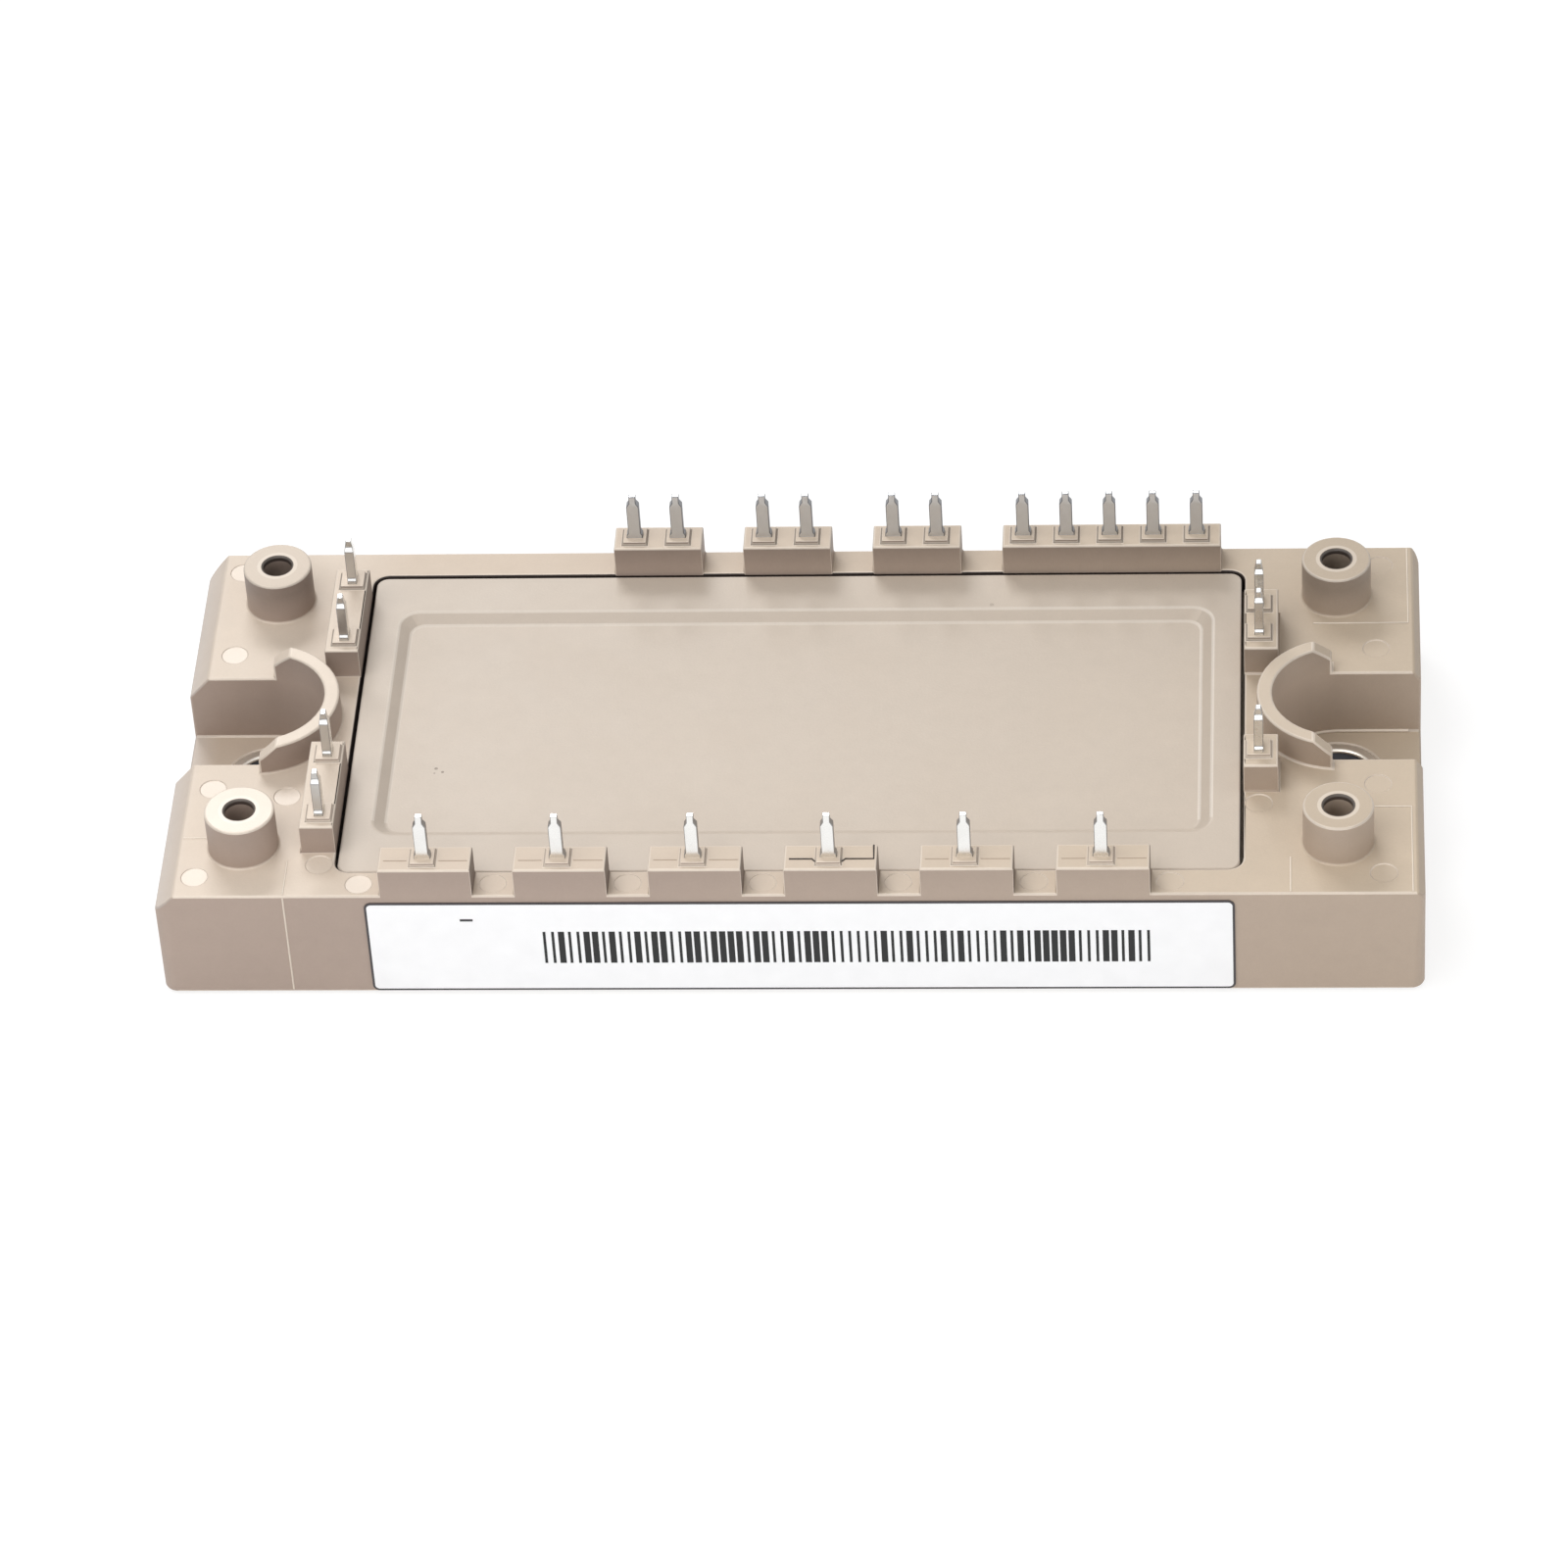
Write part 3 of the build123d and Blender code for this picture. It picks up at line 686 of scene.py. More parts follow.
def sweep_lines(name, lines, radius, material):
    """One piece of all the lines. A line is a list of points that are joined one after another."""
    points = []
    edges = []
    for line in lines:
        start = len(points)
        points += line
        edges += [(number, number + 1) for number in range(start, start + len(line) - 1)]
    return grow(name, points, edges, seam_tree(), Radius=radius, Material=material)


# %% Seams on the top and on the front face
LEFT_SEAM_X = -42.55
right_end = SEAM_X / MM
TOP_SEAMS = [
    [(44.5, 12.2), (right_end, 12.2), (right_end, 22.2)],
    [(49.6, -11.7), (right_end, -11.7), (right_end, -22.3)],
    [(42.48, -18.0), (42.48, -22.3)],
    [(-51.8, -15.1), (-49.6, -15.1)],
    [(LEFT_SEAM_X, -18.0), (LEFT_SEAM_X, -22.3)],
]
seam_lines = [[(x * MM, y * MM, TOP) for x, y in line] for line in TOP_SEAMS]
seam_lines.append([(LEFT_SEAM_X * MM, FRONT_Y, z * MM) for z in (0.6, 11.1)])
seam_material = bpy.data.materials.new("seam_plastic")
seams = sweep_lines("housing_seams", seam_lines, SEAM_RADIUS, seam_material)

# %% [markdown]
# In the right well a raised line runs along the foot of the wall and round its curve; its pale tone
# is a painted highlight. It is swept in the same way, a little thicker. On top of the front blocks are
# the finest lines, and one block has a dark hair crack instead.

# %% The line in the right well
WELL_LINE_RADIUS = 0.15 * MM
LINE_INSET = 0.1 * MM
line_reach = WELL_RADIUS - LINE_INSET
line_z = WELL_FLOOR + LINE_INSET
well_path = [(SEAM_X, line_reach, line_z)]
for degrees in (0, 12, 24, 36):
    turn = math.radians(degrees)
    well_path.append((SCREW_X - line_reach * math.sin(turn), line_reach * math.cos(turn), line_z))
well_line = sweep_lines("well_line", [well_path], WELL_LINE_RADIUS, seam_material)

# %% Lines on the front blocks
HAIR_LINES = [[(-3.33, -21.25), (-1.35, -21.25)], [(1.35, -21.25), (3.8, -21.25)]]
CRACK = [
    (-3.33, -21.2),
    (-1.4, -21.2),
    (-0.95, -21.75),
    (0.95, -21.75),
    (1.4, -21.2),
    (3.8, -21.2),
    (3.74, -19.5),
]
CRACKED = 3


def beside_pin(pin_x, line):
    """A line on top of a block, with its x counted from the block's pin."""
    return [(pin_x + x * MM, y * MM, BLOCK_TOP) for x, y in line]


hairs = [
    beside_pin(pin_x, line)
    for number, pin_x in enumerate(FRONT_PIN_X)
    for line in HAIR_LINES
    if number != CRACKED
]
faint_lines = sweep_lines("block_lines", hairs, 0.04 * MM, seam_material)
crack_material = bpy.data.materials.new("crack_shadow")
crack = sweep_lines("block_crack", [beside_pin(FRONT_PIN_X[CRACKED], CRACK)], 0.08 * MM, crack_material)
for piece in (seams, well_line, faint_lines, crack):
    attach(piece, BODY)

# %% [markdown]
# ## The lid and the metal pieces
#
# The lid is a second moulding, glued into the opening. Pins, sleeves and plate are metal.

# %% A finer copy that takes a piece's place
def finer(name, width, move=None):
    """A rounded copy that stands for a construction piece. Its corners may be moved first."""
    piece = merged_copy(name, name + "_fine")
    if move:
        reshape(piece, move)
    round_edges(piece, width)
    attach(piece, BODY)
    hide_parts(name)
    return piece


# %% [markdown]
# The gap round the real lid is narrow, and at the front it is nearly closed. The construction's gap
# is wider, so the lid's outline is moved outwards, while the sunken field keeps its place.

# %% Lid
LID_EXTRA = 0.1 * MM
LID_FRONT_EXTRA = 0.26 * MM
LID_BORDER = 1.5 * MM
LID_PALE_START = -11.8 * MM


def widen_lid(corner):
    """The corners of the lid's outline, a little further out, which narrows the gap round it."""
    x, y = corner.x - LID_X, corner.y
    if max(abs(x) - LID_HALF_X, abs(y) - LID_HALF_Y) < -LID_BORDER:
        return corner
    extra = LID_FRONT_EXTRA if y < 0 else LID_EXTRA
    return Vector((LID_X + x * (1 + LID_EXTRA / LID_HALF_X), y * (1 + extra / LID_HALF_Y), corner.z))


lid = finer("lid", 0.16 * MM, move=widen_lid)
# Painted shade: the lid's walls in the gap are darkened.
print(remember(lid, "dark", lambda *face: is_gap(*face, front=False)), "dark faces on the lid")
print(soften(lid, lambda centre: centre.y < LID_PALE_START), "plain rounds on the lid")

# %% [markdown]
# The pins are cut from tinned strip, and their edges are a little rounded by the tin. Their cut sides
# get a darker tone through a number called cut, partly the duller cut edge and partly painted shade,
# set row by row. In the two long rows the cut sides face along x (axis 0), and at the two ends along
# y (axis 1).

# %% Pins
# Painted shade on the pins' sides, strongest in the long rows and weakest at the right end.
PIN_SIDE_SHADE = {"front": (0.7, 0), "rear": (0.7, 0), "left": (0.35, 1), "right": (0.1, 1)}

pins = [finer(name, 0.06 * MM) for name in pin_names]
for pin in pins:
    share, axis = PIN_SIDE_SHADE[pin.name.split("_")[1]]
    remember(pin, "cut", lambda centre, normal: share * (abs(normal[axis]) > 0.5))
print(len(pins), "pins")

# %% [markdown]
# The sleeves are turned rings, and the base plate is a stamped one whose edges the press has
# softened. Light hardly reaches into their screw holes, so the walls there get the number cut too,
# as painted shade.

# %% Sleeves and base plate
HOLE_REACH = 3.1 * MM


def on_hole_wall(centre, normal):
    """True on the wall of a screw hole."""
    in_hole = math.hypot(abs(centre.x) - SCREW_X, centre.y) < HOLE_REACH
    return in_hole and abs(normal.z) < 0.3


sleeves = [finer(f"screw_sleeve_{end}", 0.12 * MM) for end in ("left", "right")]
plate = finer("base_plate", 0.15 * MM)
for piece in (*sleeves, plate):
    print(remember(piece, "cut", on_hole_wall), "dark faces on", piece.name)

# %% [markdown]
# ## The label and its print
#
# The label is a white film on the front face. A thin dark line round it, painted shade of the film's
# edge, and one short printed dash at the left are both part of the film's material. The row of upright
# bars is real geometry, a pattern without a meaning: Geometry Nodes place thin bars at an even pitch
# and choose for each, from a fixed seed, whether it is narrow or wide. The film is made a little
# thinner than the construction piece, so that the ink stays inside its box, and its corners get a
# tighter round.

# %% The film
INK = 0.015 * MM
CAD_LABEL_RADIUS = 1.0 * MM
LABEL_RADIUS = 0.6 * MM

label_low, label_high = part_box("label")
label_middle = (label_low + label_high) / 2
label_half = (label_high - label_low) / 2


def trim_film(corner):
    """The film's corners, with a tighter round and room for the ink in front."""
    place = corner.copy()
    place.y = max(corner.y, label_low.y + INK)
    past_x = abs(corner.x - label_middle.x) - (label_half.x - CAD_LABEL_RADIUS)
    past_z = abs(corner.z - label_middle.z) - (label_half.z - CAD_LABEL_RADIUS)
    if past_x > 0 and past_z > 0:
        share = LABEL_RADIUS / CAD_LABEL_RADIUS
        reach_x = label_half.x - LABEL_RADIUS + past_x * share
        reach_z = label_half.z - LABEL_RADIUS + past_z * share
        place.x = label_middle.x + math.copysign(reach_x, corner.x - label_middle.x)
        place.z = label_middle.z + math.copysign(reach_z, corner.z - label_middle.z)
    return place


label = merged_copy("label", "label_film_piece")
reshape(label, trim_film)
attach(label, BODY)
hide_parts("label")
print("label in mm:", [round(side / MM, 2) for side in label_high - label_low])


# %% A tree that prints bars
def bar_tree():
    tree = Tree("printed bars")
    count = tree.given("Count", "count")
    pitch = tree.given("Pitch", "length")
    narrow = tree.given("Narrow", "length")
    wide = tree.given("Wide", "length")
    height = tree.given("Height", "length")
    thickness = tree.given("Thickness", "length")
    seed = tree.given("Seed", "count")
    material = tree.given("Material", "material")
    step = tree.node("ShaderNodeCombineXYZ", X=pitch)
    row = tree.node("GeometryNodeMeshLine", {"mode": "OFFSET"}, Count=count, Offset=step.outputs[0])
    place = tree.node("GeometryNodeInputPosition")
    origin = tree.node("GeometryNodeSampleIndex", {"data_type": "FLOAT_VECTOR"})
    tree.link(tree.start.outputs["Geometry"], origin.inputs["Geometry"])
    tree.link(place.outputs[0], origin.inputs["Value"])
    moved = tree.node(
        "GeometryNodeSetPosition", Geometry=row.outputs["Mesh"], Offset=origin.outputs["Value"]
    )
    choice = tree.node("FunctionNodeRandomValue", {"data_type": "BOOLEAN"}, Seed=seed, Probability=0.5)
    width = tree.node("GeometryNodeSwitch", {"input_type": "FLOAT"})
    tree.link(choice.outputs[3], width.inputs["Switch"])
    tree.link(narrow, width.inputs["False"])
    tree.link(wide, width.inputs["True"])
    size = tree.node("ShaderNodeCombineXYZ", X=width.outputs[0], Y=thickness, Z=height)
    cube = tree.node("GeometryNodeMeshCube", Size=(1, 1, 1))
    bars = tree.node(
        "GeometryNodeInstanceOnPoints",
        Points=moved.outputs["Geometry"],
        Instance=cube.outputs["Mesh"],
        Scale=size.outputs[0],
    )
    tree.finish(bars.outputs["Instances"], material)
    return tree


# %% [markdown]
# The places of the bars are counted from the film's upper left corner, as on the label itself.

# %% The bars
BARS_START = 15.1 * MM
BARS_END = 66.8 * MM
BARS_TOP = 3.3 * MM
BARS_BOTTOM = 6.9 * MM
BAR_PITCH = 0.72 * MM
INSIDE_BOX = 0.001 * MM

ink_y = label_low.y + 0.5 * INK + INSIDE_BOX
print_material = bpy.data.materials.new("print_black")
first_bar = (label_low.x + BARS_START, ink_y, label_high.z - (BARS_TOP + BARS_BOTTOM) / 2)
bars = grow(
    "label_bars",
    [first_bar],
    [],
    bar_tree(),
    Count=round((BARS_END - BARS_START) / BAR_PITCH),
    Pitch=BAR_PITCH,
    Narrow=0.24 * MM,
    Wide=0.54 * MM,
    Height=BARS_BOTTOM - BARS_TOP,
    Thickness=INK,
    Seed=7,
    Material=print_material,
)
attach(bars, BODY)

# %% [markdown]
# ## The plastic
#
# Housing and lid are glass-filled polyester of a light beige. Its colour wanders a little over a
# centimetre, and its skin has a very fine grain, which breaks up the highlights. Noise makes both.
# The rest follows from a face's place and direction: upright walls get a darker tone, a painted
# shade, the right half is warmer and darker, partly its tone and partly painted shade, the upper left
# and the far left end get a paler painted highlight, and high walls at the rear get painted shade.
# Where steel pressed the plastic smooth it shines more, and there and along the edges a paler tone is
# painted on as highlight.

# %% What the plastic depends on
class Plastic(Recipe):
    """Moulded plastic, with wires for a point's place, its direction and its remembered numbers."""

    def __init__(self, name):
        super().__init__(name)
        self.x, self.y, self.z = self.split(self.place)
        self.facing = self.split(self.normal)
        self.wall = 1 - self.rise(self.facing[2].math("ABSOLUTE"), 0.35, 0.8)
        self.behind = self.rise(self.y, -10 * MM, 10 * MM)
        self.edge = self.attribute("edge")
        self.polish = self.attribute("polish")
        self.grain = self.noise(0.22 * MM, detail=2.0)
        self.cloud = self.noise(7 * MM, detail=2.0)


def distance(aside, ahead):
    """The distance from a place, for wires that hold the differences from it in x and y."""
    return (aside * aside + ahead * ahead).math("SQRT")


# %% [markdown]
# The brightness is a number near 1 that the colour is multiplied by in the end. Besides small random
# unevenness it holds painted shade: high walls, most of all at the rear, standoff tops, slopes, the
# rear and the right rear are darkened. The wall of the right well is the one place that gets painted
# light, standing in for the light that bounces round inside its curve.

# %% Brightness of the plastic
CURVE_REACH = 5.75 * MM


def brightness(recipe, to_right):
    blotch = recipe.noise(1.5 * MM, detail=3.0)
    flow = recipe.noise(14 * MM, detail=3.0, stretch=(1.0, 2.5, 2.5))
    uneven = (recipe.cloud - 0.5) * 0.06 + (flow - 0.5) * 0.05
    uneven = uneven + (recipe.grain - 0.5) * 0.06 + (blotch - 0.5) * 0.07
    high = recipe.rise(recipe.z, TOP, TOP + 3 * MM)
    highest = recipe.z.above(STANDOFF_TOP - 0.1 * MM) * (1 - recipe.polish)
    slope = recipe.facing[0].math("ABSOLUTE").above(0.3) * recipe.facing[2].above(0.3)
    # Painted shade on high rear walls, standoff tops, slopes, the rear and the right rear.
    shaded = high * recipe.wall * (recipe.behind * 0.26 + 0.09) + highest * 0.09 + slope * 0.1
    shaded = shaded + recipe.behind * 0.04 + recipe.behind * to_right * 0.1
    # Painted light inside the right well's curve.
    in_curve = distance(recipe.x - SCREW_X, recipe.y).below(CURVE_REACH) * recipe.wall
    lighter = in_curve * recipe.rise(recipe.facing[0], 0.0, 0.7) * 0.2
    return 1 + uneven - shaded + lighter


# %% Tones by place
# The warm tone is also darker, so the right half gets painted shade along with its warmer colour.
WARM_SHADE_TONE = color(190, 173, 150)
END_SHEEN_TONE = color(210, 205, 203)


def by_place(recipe, tone, wall_shade_tone, highlight_tone, to_right):
    """The plastic's tone, warmer and darker to the right, partly painted shade, with painted highlight
    on the upper left and a paler grey painted sheen on the far left end.
    """
    base = recipe.mix(recipe.wall, tone, wall_shade_tone)
    warm_shade = recipe.mix(to_right, base, WARM_SHADE_TONE)
    # Painted highlight: the upper faces at the left end are mixed toward the pale tone.
    on_upper_part = (1 - recipe.wall) * recipe.z.above(TOP - 2 * MM)
    painted_left_light = recipe.rise(recipe.x, -35 * MM, -42.5 * MM) * on_upper_part
    pale = recipe.mix(painted_left_light * 0.4, warm_shade, highlight_tone)
    # Painted sheen: the level faces of the far left end bevel are mixed toward a paler grey.
    end = recipe.rise(recipe.x, -51.39 * MM, -53.61 * MM) * recipe.facing[2].above(0.3)
    return recipe.mix(end * 0.35, pale, END_SHEEN_TONE)


# %% [markdown]
# The screw holes of the standoffs get a pale ring round their rim, a painted highlight, and painted
# shade inside. The four holes are alike in both directions, so one distance, counted with x and y
# made positive, does for all.

# %% Holes of the standoffs
RIM_RADIUS = 1.62 * MM
RIM_HALF = 0.16 * MM
MOUTH_RADIUS = 1.43 * MM


def standoff_holes(recipe):
    """Two masks: a painted highlight ring round the standoffs' holes, and painted shade in their
    mouths.
    """
    radius = distance(recipe.x.math("ABSOLUTE") - STANDOFF_X, recipe.y.math("ABSOLUTE") - STANDOFF_Y)
    rim = recipe.z.above(STANDOFF_TOP - 0.06 * MM) * radius.distance_to(RIM_RADIUS).below(RIM_HALF)
    shaded_mouth = recipe.z.above(STANDOFF_TOP - 0.5 * MM) * radius.below(MOUTH_RADIUS)
    return rim, shaded_mouth


# %% The whole plastic
PAINTED_SHADE_TONE = color(52, 42, 38)
SPOT_TONE = color(112, 98, 86)


def plastic(name, tone, wall_shade_tone, highlight_tone, painted_edge_share=0.75, warm_shade_share=0.7, spots=()):
    """Plastic from its tone on level faces, a darker tone on walls as painted shade, and a pale tone
    for painted highlights.
    """
    recipe = Plastic(name)
    wide_rise = recipe.rise(recipe.x, -18.75 * MM, 56.25 * MM)
    to_right = wide_rise * (1 - recipe.wall * 0.4) * warm_shade_share
    # Painted highlight: rounds and polished faces are mixed toward the pale tone, and the front gap
    # gets painted light.
    smooth = (recipe.edge * painted_edge_share + recipe.polish * 0.4).math("MINIMUM", 1.0)
    colour = recipe.mix(smooth, by_place(recipe, tone, wall_shade_tone, highlight_tone, to_right), highlight_tone)
    rim, shaded_mouth = standoff_holes(recipe)
    # Painted highlight: a pale ring round each standoff's hole.
    colour = recipe.mix(rim * 0.7, colour, highlight_tone)
    for spot_x, spot_y, radius, strength in spots:
        away = distance(recipe.x - spot_x * MM, recipe.y - spot_y * MM)
        colour = recipe.mix(away.below(radius * MM) * strength, colour, SPOT_TONE)
    # Painted shade: gaps, pin feet, walls by the lid and blocks, and the standoffs' holes are darkened
    # toward the dark tone.
    dark = recipe.attribute("dark").math("MAXIMUM", shaded_mouth * 0.9)
    deep = recipe.mix(dark, colour, PAINTED_SHADE_TONE)
    shade = brightness(recipe, to_right)
    recipe.feed(
        Base_Color=recipe.node("ShaderNodeVectorMath", {"operation": "SCALE"}, deep, Scale=shade),
        Roughness=0.5 + (recipe.cloud - 0.5) * 0.16 - recipe.polish * 0.14,
        Normal=recipe.bump(recipe.grain, 0.012 * MM),
    )
    return recipe.material


# %% [markdown]
# Three finishes come from this one recipe. The lid is a little greyer, with four tiny dark specks,
# each given by its place, radius and strength. The seam lines get a paler tone than the faces they
# cross, a painted highlight.

# %% Housing, lid and seams
LID_SPOTS = [
    (-31.0, -5.3, 0.16, 0.7),
    (-30.4, -5.75, 0.13, 0.8),
    (-31.1, -5.9, 0.1, 0.5),
    (16.35, 15.1, 0.2, 0.3),
]

housing_plastic = plastic(
    "housing_finish", color(194, 177, 159), color(165, 147, 135), color(224, 211, 196)
)
lid_plastic = plastic(
    "lid_finish",
    color(190, 177, 163),
    color(158, 147, 142),
    color(218, 209, 198),
    painted_edge_share=0.45,
    warm_shade_share=0.2,
    spots=LID_SPOTS,
)
seam_plastic = plastic(
    "seam_finish", color(234, 222, 206), color(214, 202, 188), color(214, 204, 191), warm_shade_share=0.1
)
print("plastics:", housing_plastic.name, lid_plastic.name, seam_plastic.name)


# %% [markdown]
# ## Metals, film and ink
#
# Tin on the pins is bright but never a mirror: fine drawing lines run along them and the surface
# waves a little. Nickel on the sleeves and the plate is a shade warmer. The label film is white and
# slightly glossy.

# %% Metals
CUT_AND_SHADE_TONE = (0.1, 0.1, 0.11, 1.0)
EVEN = (1.0, 1.0, 1.0)
ALONG_PIN = (1.0, 1.0, 0.12)


def metal(name, tone, roughness, wave, lines=EVEN, painted_edge_share=0.0):
    """Metal that waves a little. Noise that is stretched along one axis gives drawing lines."""
    recipe = Recipe(name, metallic=1.0, roughness=roughness)
    streaks = recipe.noise(0.12 * MM, detail=2.0, stretch=lines)
    patches = recipe.noise(1.6 * MM, detail=3.0)
    dull_tone = [part * 0.78 for part in tone[:3]] + [1.0]
    dull = recipe.mix((patches - 0.5) * 0.5 + 0.2, tone, dull_tone)
    # Painted shade: cut sides, hole walls and a share of the rounded edges are darkened toward the cut
    # tone; on the pins part of it is the duller cut edge.
    cut = recipe.attribute("cut").math("MAXIMUM", recipe.attribute("edge") * painted_edge_share)
    fine = recipe.bump(streaks, 0.004 * MM)
    recipe.feed(
        Base_Color=recipe.mix(cut, dull, CUT_AND_SHADE_TONE),
        Roughness=roughness + (patches - 0.5) * 0.2 + cut * 0.15,
        Normal=recipe.bump(patches, wave, normal=fine),
    )
    return recipe.material


TIN_WAVE = 0.03 * MM
tin = metal("tin_finish", color(242, 241, 238), 0.26, TIN_WAVE, ALONG_PIN, painted_edge_share=0.6)
# The rear row wears a darker, rougher copy of the tin: painted shade.
shaded_tin = metal("dull_tin_finish", color(210, 212, 214), 0.36, TIN_WAVE, ALONG_PIN, painted_edge_share=0.8)
nickel = metal("nickel_finish", color(232, 226, 216), 0.36, 0.02 * MM)
copper = metal("copper_finish", color(214, 150, 120), 0.35, 0.01 * MM)
solder = metal("solder_finish", color(176, 176, 174), 0.45, 0.03 * MM)
wire_aluminium = metal("wire_finish", color(220, 220, 222), 0.35, 0.004 * MM, lines=(0.3, 1.0, 1.0))
print("metals:", [made.name for made in (tin, shaded_tin, nickel, copper, solder, wire_aluminium)])


# %% Ink and the pieces inside
def simple(name, tone, roughness, variation, **more):
    """A finish whose brightness and roughness only wander a little."""
    recipe = Recipe(name, roughness=roughness)
    patches = recipe.noise(1.2 * MM, detail=3.0)
    shade = 1 + (patches - 0.5) * variation
    scaled = recipe.node("ShaderNodeVectorMath", {"operation": "SCALE"}, tone[:3], Scale=shade)
    recipe.feed(Base_Color=scaled, Roughness=roughness + (patches - 0.5) * 0.1, **more)
    return recipe.material


print_black = simple("ink_finish", color(14, 14, 16), 0.5, 0.2)
line_brown = simple("line_finish", color(164, 146, 128), 0.6, 0.1)
crack_black = simple("crack_finish", color(44, 35, 30), 0.7, 0.2)
ceramic = simple("ceramic_finish", color(228, 226, 220), 0.6, 0.06)
silicon = simple("silicon_finish", color(92, 96, 108), 0.25, 0.1)
gel = simple("gel_finish", color(214, 218, 214), 0.15, 0.04, Alpha=0.6)
silicone_bead = simple("bead_finish", color(150, 152, 154), 0.5, 0.08)
print("other materials:", print_black.name, ceramic.name, silicon.name, gel.name, silicone_bead.name)

# %% [markdown]
# The dark line round the film is painted shade of its edge, drawn in its material. All points that
# are nearer to the film's rounded outline than the line is wide take the dark tone.

# %% Film with its painted edge shade and printed dash
FILM_TONE = color(246, 246, 247)
FILM_SHADE = color(238, 238, 239)
EDGE_SHADE_TONE = color(62, 58, 60)
DASH_TONE = color(40, 38, 40)
EDGE_SHADE_WIDTH = 0.2 * MM
DASH_PLACE = Vector((8.6, 0.0, 1.95)) * MM
DASH_HALF = Vector((0.55, 0.0, 0.13)) * MM


def film(name):
    recipe = Recipe(name, roughness=0.42)
    x, y, z = recipe.split(recipe.place)
    past_x = x.distance_to(label_middle.x) - (label_half.x - LABEL_RADIUS)
    past_z = z.distance_to(label_middle.z) - (label_half.z - LABEL_RADIUS)
    outside = distance(past_x.math("MAXIMUM", 0.0), past_z.math("MAXIMUM", 0.0))
    inside = past_x.math("MAXIMUM", past_z).math("MINIMUM", 0.0)
    line = (outside + inside).above(LABEL_RADIUS - EDGE_SHADE_WIDTH)
    dash_x = x.distance_to(label_low.x + DASH_PLACE.x).below(DASH_HALF.x)
    dash_z = z.distance_to(label_high.z - DASH_PLACE.z).below(DASH_HALF.z)
    white = recipe.mix(recipe.noise(2 * MM, detail=3.0), FILM_TONE, FILM_SHADE)
    lined = recipe.mix(line, white, EDGE_SHADE_TONE)
    recipe.feed(Base_Color=recipe.mix(dash_x * dash_z, lined, DASH_TONE))
    return recipe.material


label_film = film("film_finish")
print("film:", label_film.name)

# %% [markdown]
# Each construction piece names a slot, which is the kind of material that it is made of, and gets
# the finish for that slot. The finer pieces get theirs one kind after another.

# %% Dress every piece
SLOT_MATERIALS = {
    "housing_plastic": housing_plastic,
    "lid_plastic": lid_plastic,
    "label_film": label_film,
    "nickel": nickel,
    "tin": tin,
    "copper": copper,
    "ceramic": ceramic,
    "silicon": silicon,
    "solder": solder,
    "wire_aluminium": wire_aluminium,
    "gel": gel,
    "silicone_bead": silicone_bead,
}


def dress(piece, material):
    piece.data.materials.clear()
    piece.data.materials.append(material)
    for face in piece.data.polygons:
        face.material_index = 0


for part in frame["record"]["subparts"]:
    dress(nodes[part["node"]], SLOT_MATERIALS[part["material_slot"]])
finer_pieces = [
    (housing_plastic, [housing]),
    (lid_plastic, [lid]),
    (seam_plastic, [seams, well_line]),
    (shaded_tin, [pin for pin in pins if "rear" in pin.name]),
    (tin, [pin for pin in pins if "rear" not in pin.name]),
    (nickel, [*sleeves, plate]),
    (label_film, [label]),
    (print_black, [bars]),
    (line_brown, [faint_lines]),
    (crack_black, [crack]),
]
for material, pieces in finer_pieces:
    for piece in pieces:
        dress(piece, material)

# %% [markdown]
# ## The photograph
#
# The module lies on white paper. The paper is a floor that shows its own white to the camera and to
# reflections, and still receives the soft shadow. The sky is white for the camera and for mirrors,
# and dimmer as a light, so that the beige doesn't wash out.

# %% Floor
FLOOR_SIZE = 3.0
WHITE = (1.0, 1.0, 1.0, 1.0)
PAPER_TONE = (0.93, 0.93, 0.93, 1.0)
PAPER_GLOW = 1.1
GLOW_SHARE = 0.72

half = FLOOR_SIZE / 2
floor_height = min(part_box(name)[0].z for name in nodes) - 0.02 * MM
corners = [(-half, -half), (half, -half), (half, half), (-half, half)]
floor_mesh = bpy.data.meshes.new("paper")
floor_mesh.from_pydata([(x, y, floor_height) for x, y in corners], [], [(0, 1, 2, 3)])
floor = bpy.data.objects.new("paper", floor_mesh)
bpy.context.scene.collection.objects.link(floor)

paper = Recipe("paper", roughness=0.9)
paper.feed(Base_Color=PAPER_TONE, Specular_IOR_Level=0.0)
paper_rays = paper.node("ShaderNodeLightPath", {}).socket.node
seen = sum(Wire(paper, paper_rays.outputs[name]) for name in ("Is Camera Ray", "Is Glossy Ray"))
glow = paper.node("ShaderNodeEmission", {}, WHITE, PAPER_GLOW)
body = Wire(paper, paper.shader.outputs[0])
shown = paper.node("ShaderNodeMixShader", {}, seen.math("MINIMUM", 1.0) * GLOW_SHARE, body, glow)
paper.plug(shown, paper.tree.nodes["Material Output"].inputs["Surface"])
floor_mesh.materials.append(paper.material)
print("floor at z =", round(floor_height / MM, 3), "mm")

# %% Sky
SKY_LIGHT = 0.46
SEEN_RAYS = ("Is Camera Ray", "Is Glossy Ray", "Is Transmission Ray")

world = bpy.data.worlds.new("sky")
bpy.context.scene.world = world
world.use_nodes = True
sky = Network(world.node_tree)
sky_rays = sky.node("ShaderNodeLightPath", {}).socket.node
seen_white = sum(Wire(sky, sky_rays.outputs[name]) for name in SEEN_RAYS).math("MINIMUM", 1.0)
background = world.node_tree.nodes["Background"].inputs
sky.plug(WHITE, background["Color"])
sky.plug(seen_white + (1 - seen_white) * SKY_LIGHT, background["Strength"])
print("the sky gives", SKY_LIGHT, "of a white sky's light")

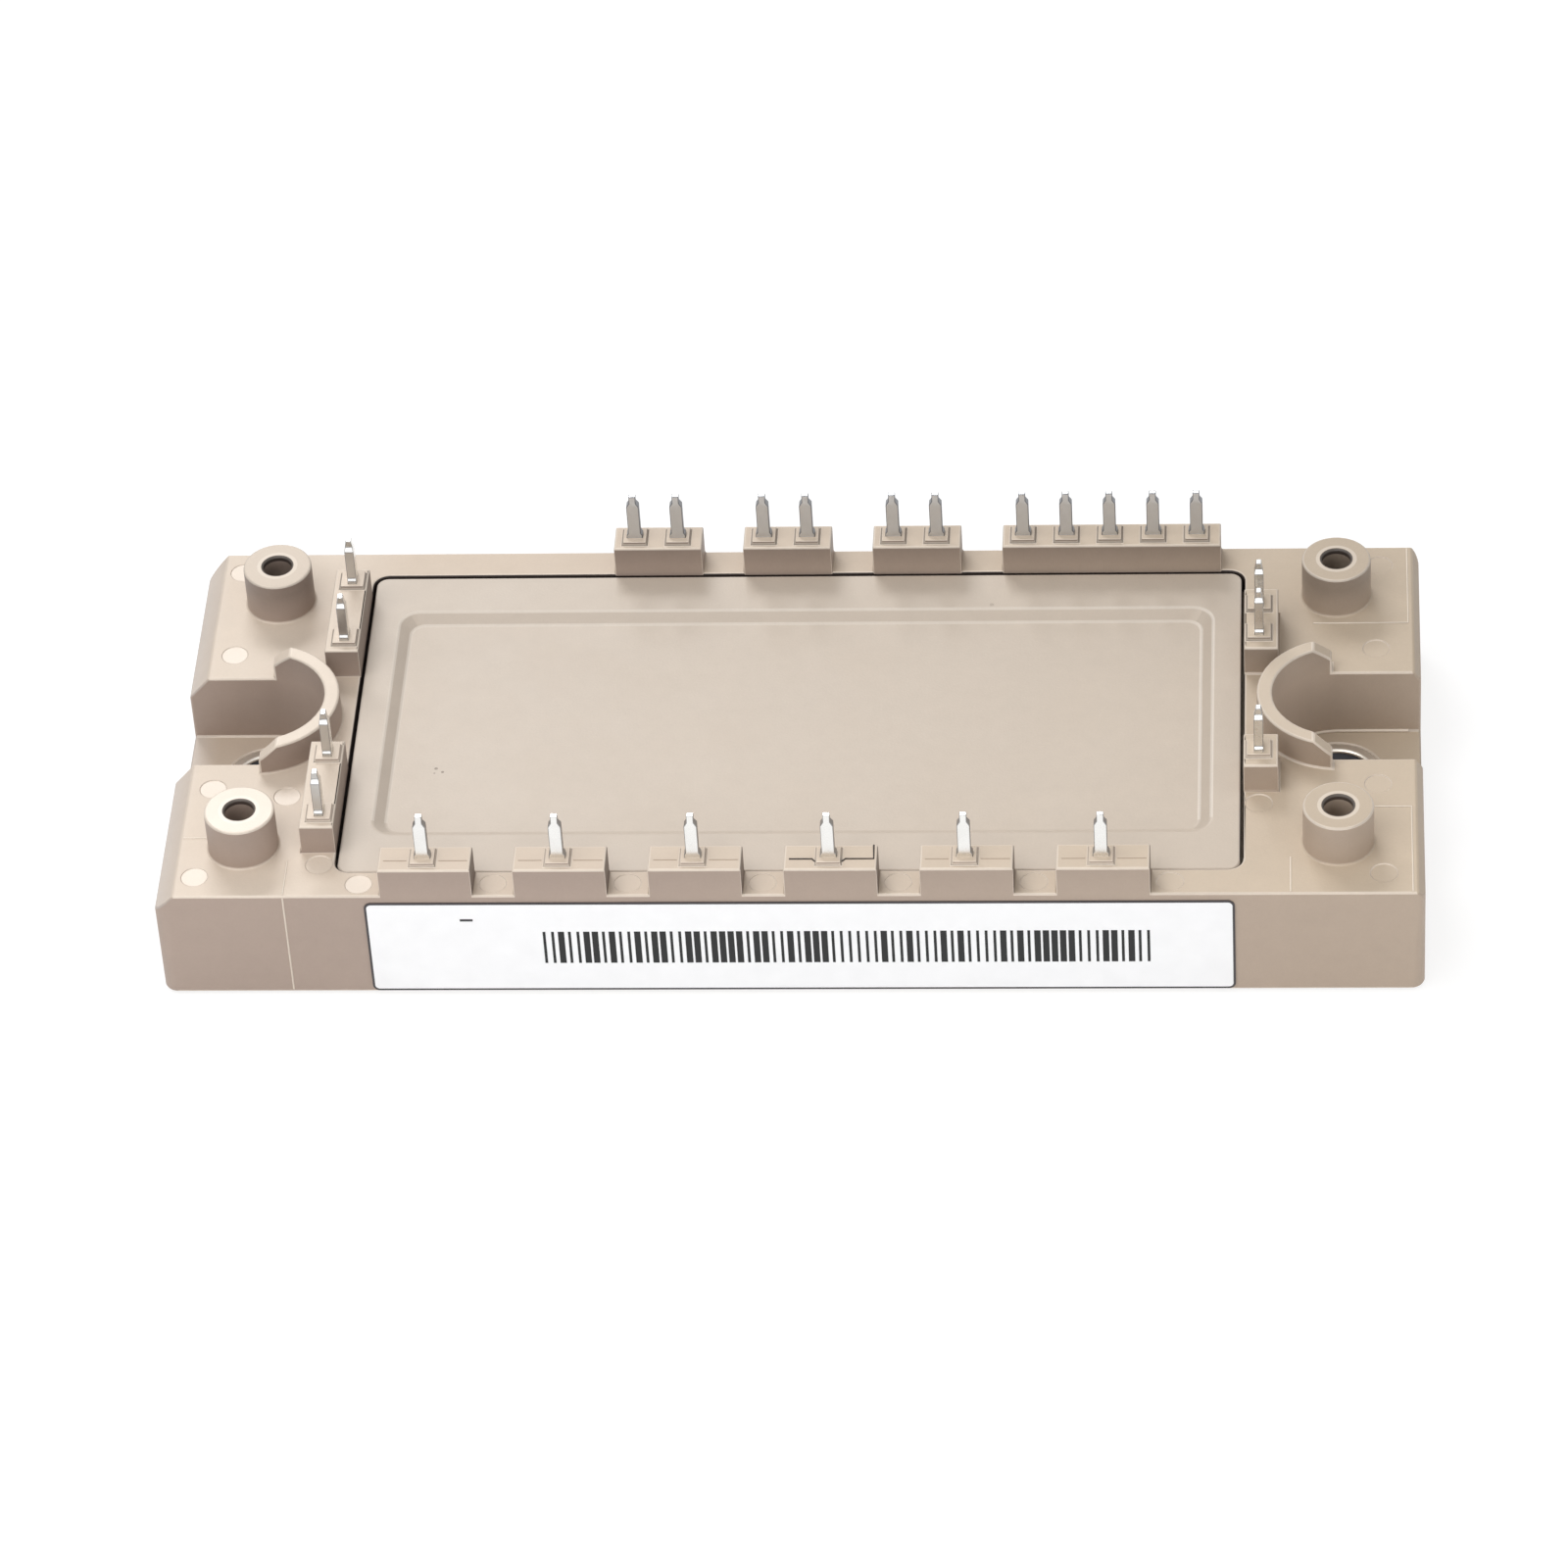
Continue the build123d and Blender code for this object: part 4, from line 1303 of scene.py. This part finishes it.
# %% [markdown]
# Four lamps make the light. The main one is large and hangs over the left front. The one behind
# gives the back edges their shine and throws the shadow to the front. Two weak ones, in front and
# at the right, lighten the front face and the right end.

# %% Lamps
def lamp(name, place, target, width, height, watts):
    """A rectangular lamp that looks at the target."""
    light = bpy.data.lights.new(name, "AREA")
    light.shape = "RECTANGLE"
    light.size = width
    light.size_y = height
    light.energy = watts
    holder = bpy.data.objects.new(name, light)
    bpy.context.scene.collection.objects.link(holder)
    direction = Vector(target) - Vector(place)
    turned = direction.to_track_quat("-Z", "Y").to_matrix().to_4x4()
    holder.matrix_world = Matrix.Translation(place) @ turned
    return holder


lamps = [
    lamp("back", (-0.14, 0.36, 0.365), (0, 0, 0), 0.25, 0.13, 1.1),
    lamp("main", (-0.15, -0.14, 0.38), (0, -0.01, 0), 0.36, 0.36, 0.92),
    lamp("front", (0.02, -0.3, 0.12), (0, -0.02, 0), 0.3, 0.15, 0.25),
    lamp("right", (0.32, -0.02, 0.2), (0.03, 0, 0), 0.2, 0.2, 0.11),
]
print("lamps:", [round(holder.data.energy, 2) for holder in lamps], "W")

# %% [markdown]
# The camera's place was worked out from the photograph: the corners of the housing and the pins were
# matched with their places on the model. It is a long lens from about sixty centimetres.

# %% Camera
YAW = math.radians(-5.512)
PITCH_DOWN = math.radians(41.663)
ROLL = math.radians(-3.930)
TARGET = Vector((-1.160, -4.025, 7.3)) * MM
DISTANCE = 633.406 * MM
FOCAL_LENGTH = 168.471
SENSOR_WIDTH = 36.0

forward = Vector(
    (math.sin(YAW) * math.cos(PITCH_DOWN), math.cos(YAW) * math.cos(PITCH_DOWN), -math.sin(PITCH_DOWN))
)
level = Vector((math.cos(YAW), -math.sin(YAW), 0.0))
upward = level.cross(forward)
side = math.cos(ROLL) * level + math.sin(ROLL) * upward
over = -math.sin(ROLL) * level + math.cos(ROLL) * upward
eye = TARGET - DISTANCE * forward

lens = bpy.data.cameras.new("camera")
lens.lens = FOCAL_LENGTH
lens.sensor_width = SENSOR_WIDTH
lens.clip_start = 0.01
lens.clip_end = 10.0
camera = bpy.data.objects.new("camera", lens)
bpy.context.scene.collection.objects.link(camera)
turn = Matrix((side, over, -forward)).transposed().to_4x4()
camera.matrix_world = Matrix.Translation(eye) @ turn
bpy.context.scene.camera = camera
bpy.context.scene.view_settings.view_transform = "Standard"
print("camera at", [round(value, 4) for value in eye], "m")
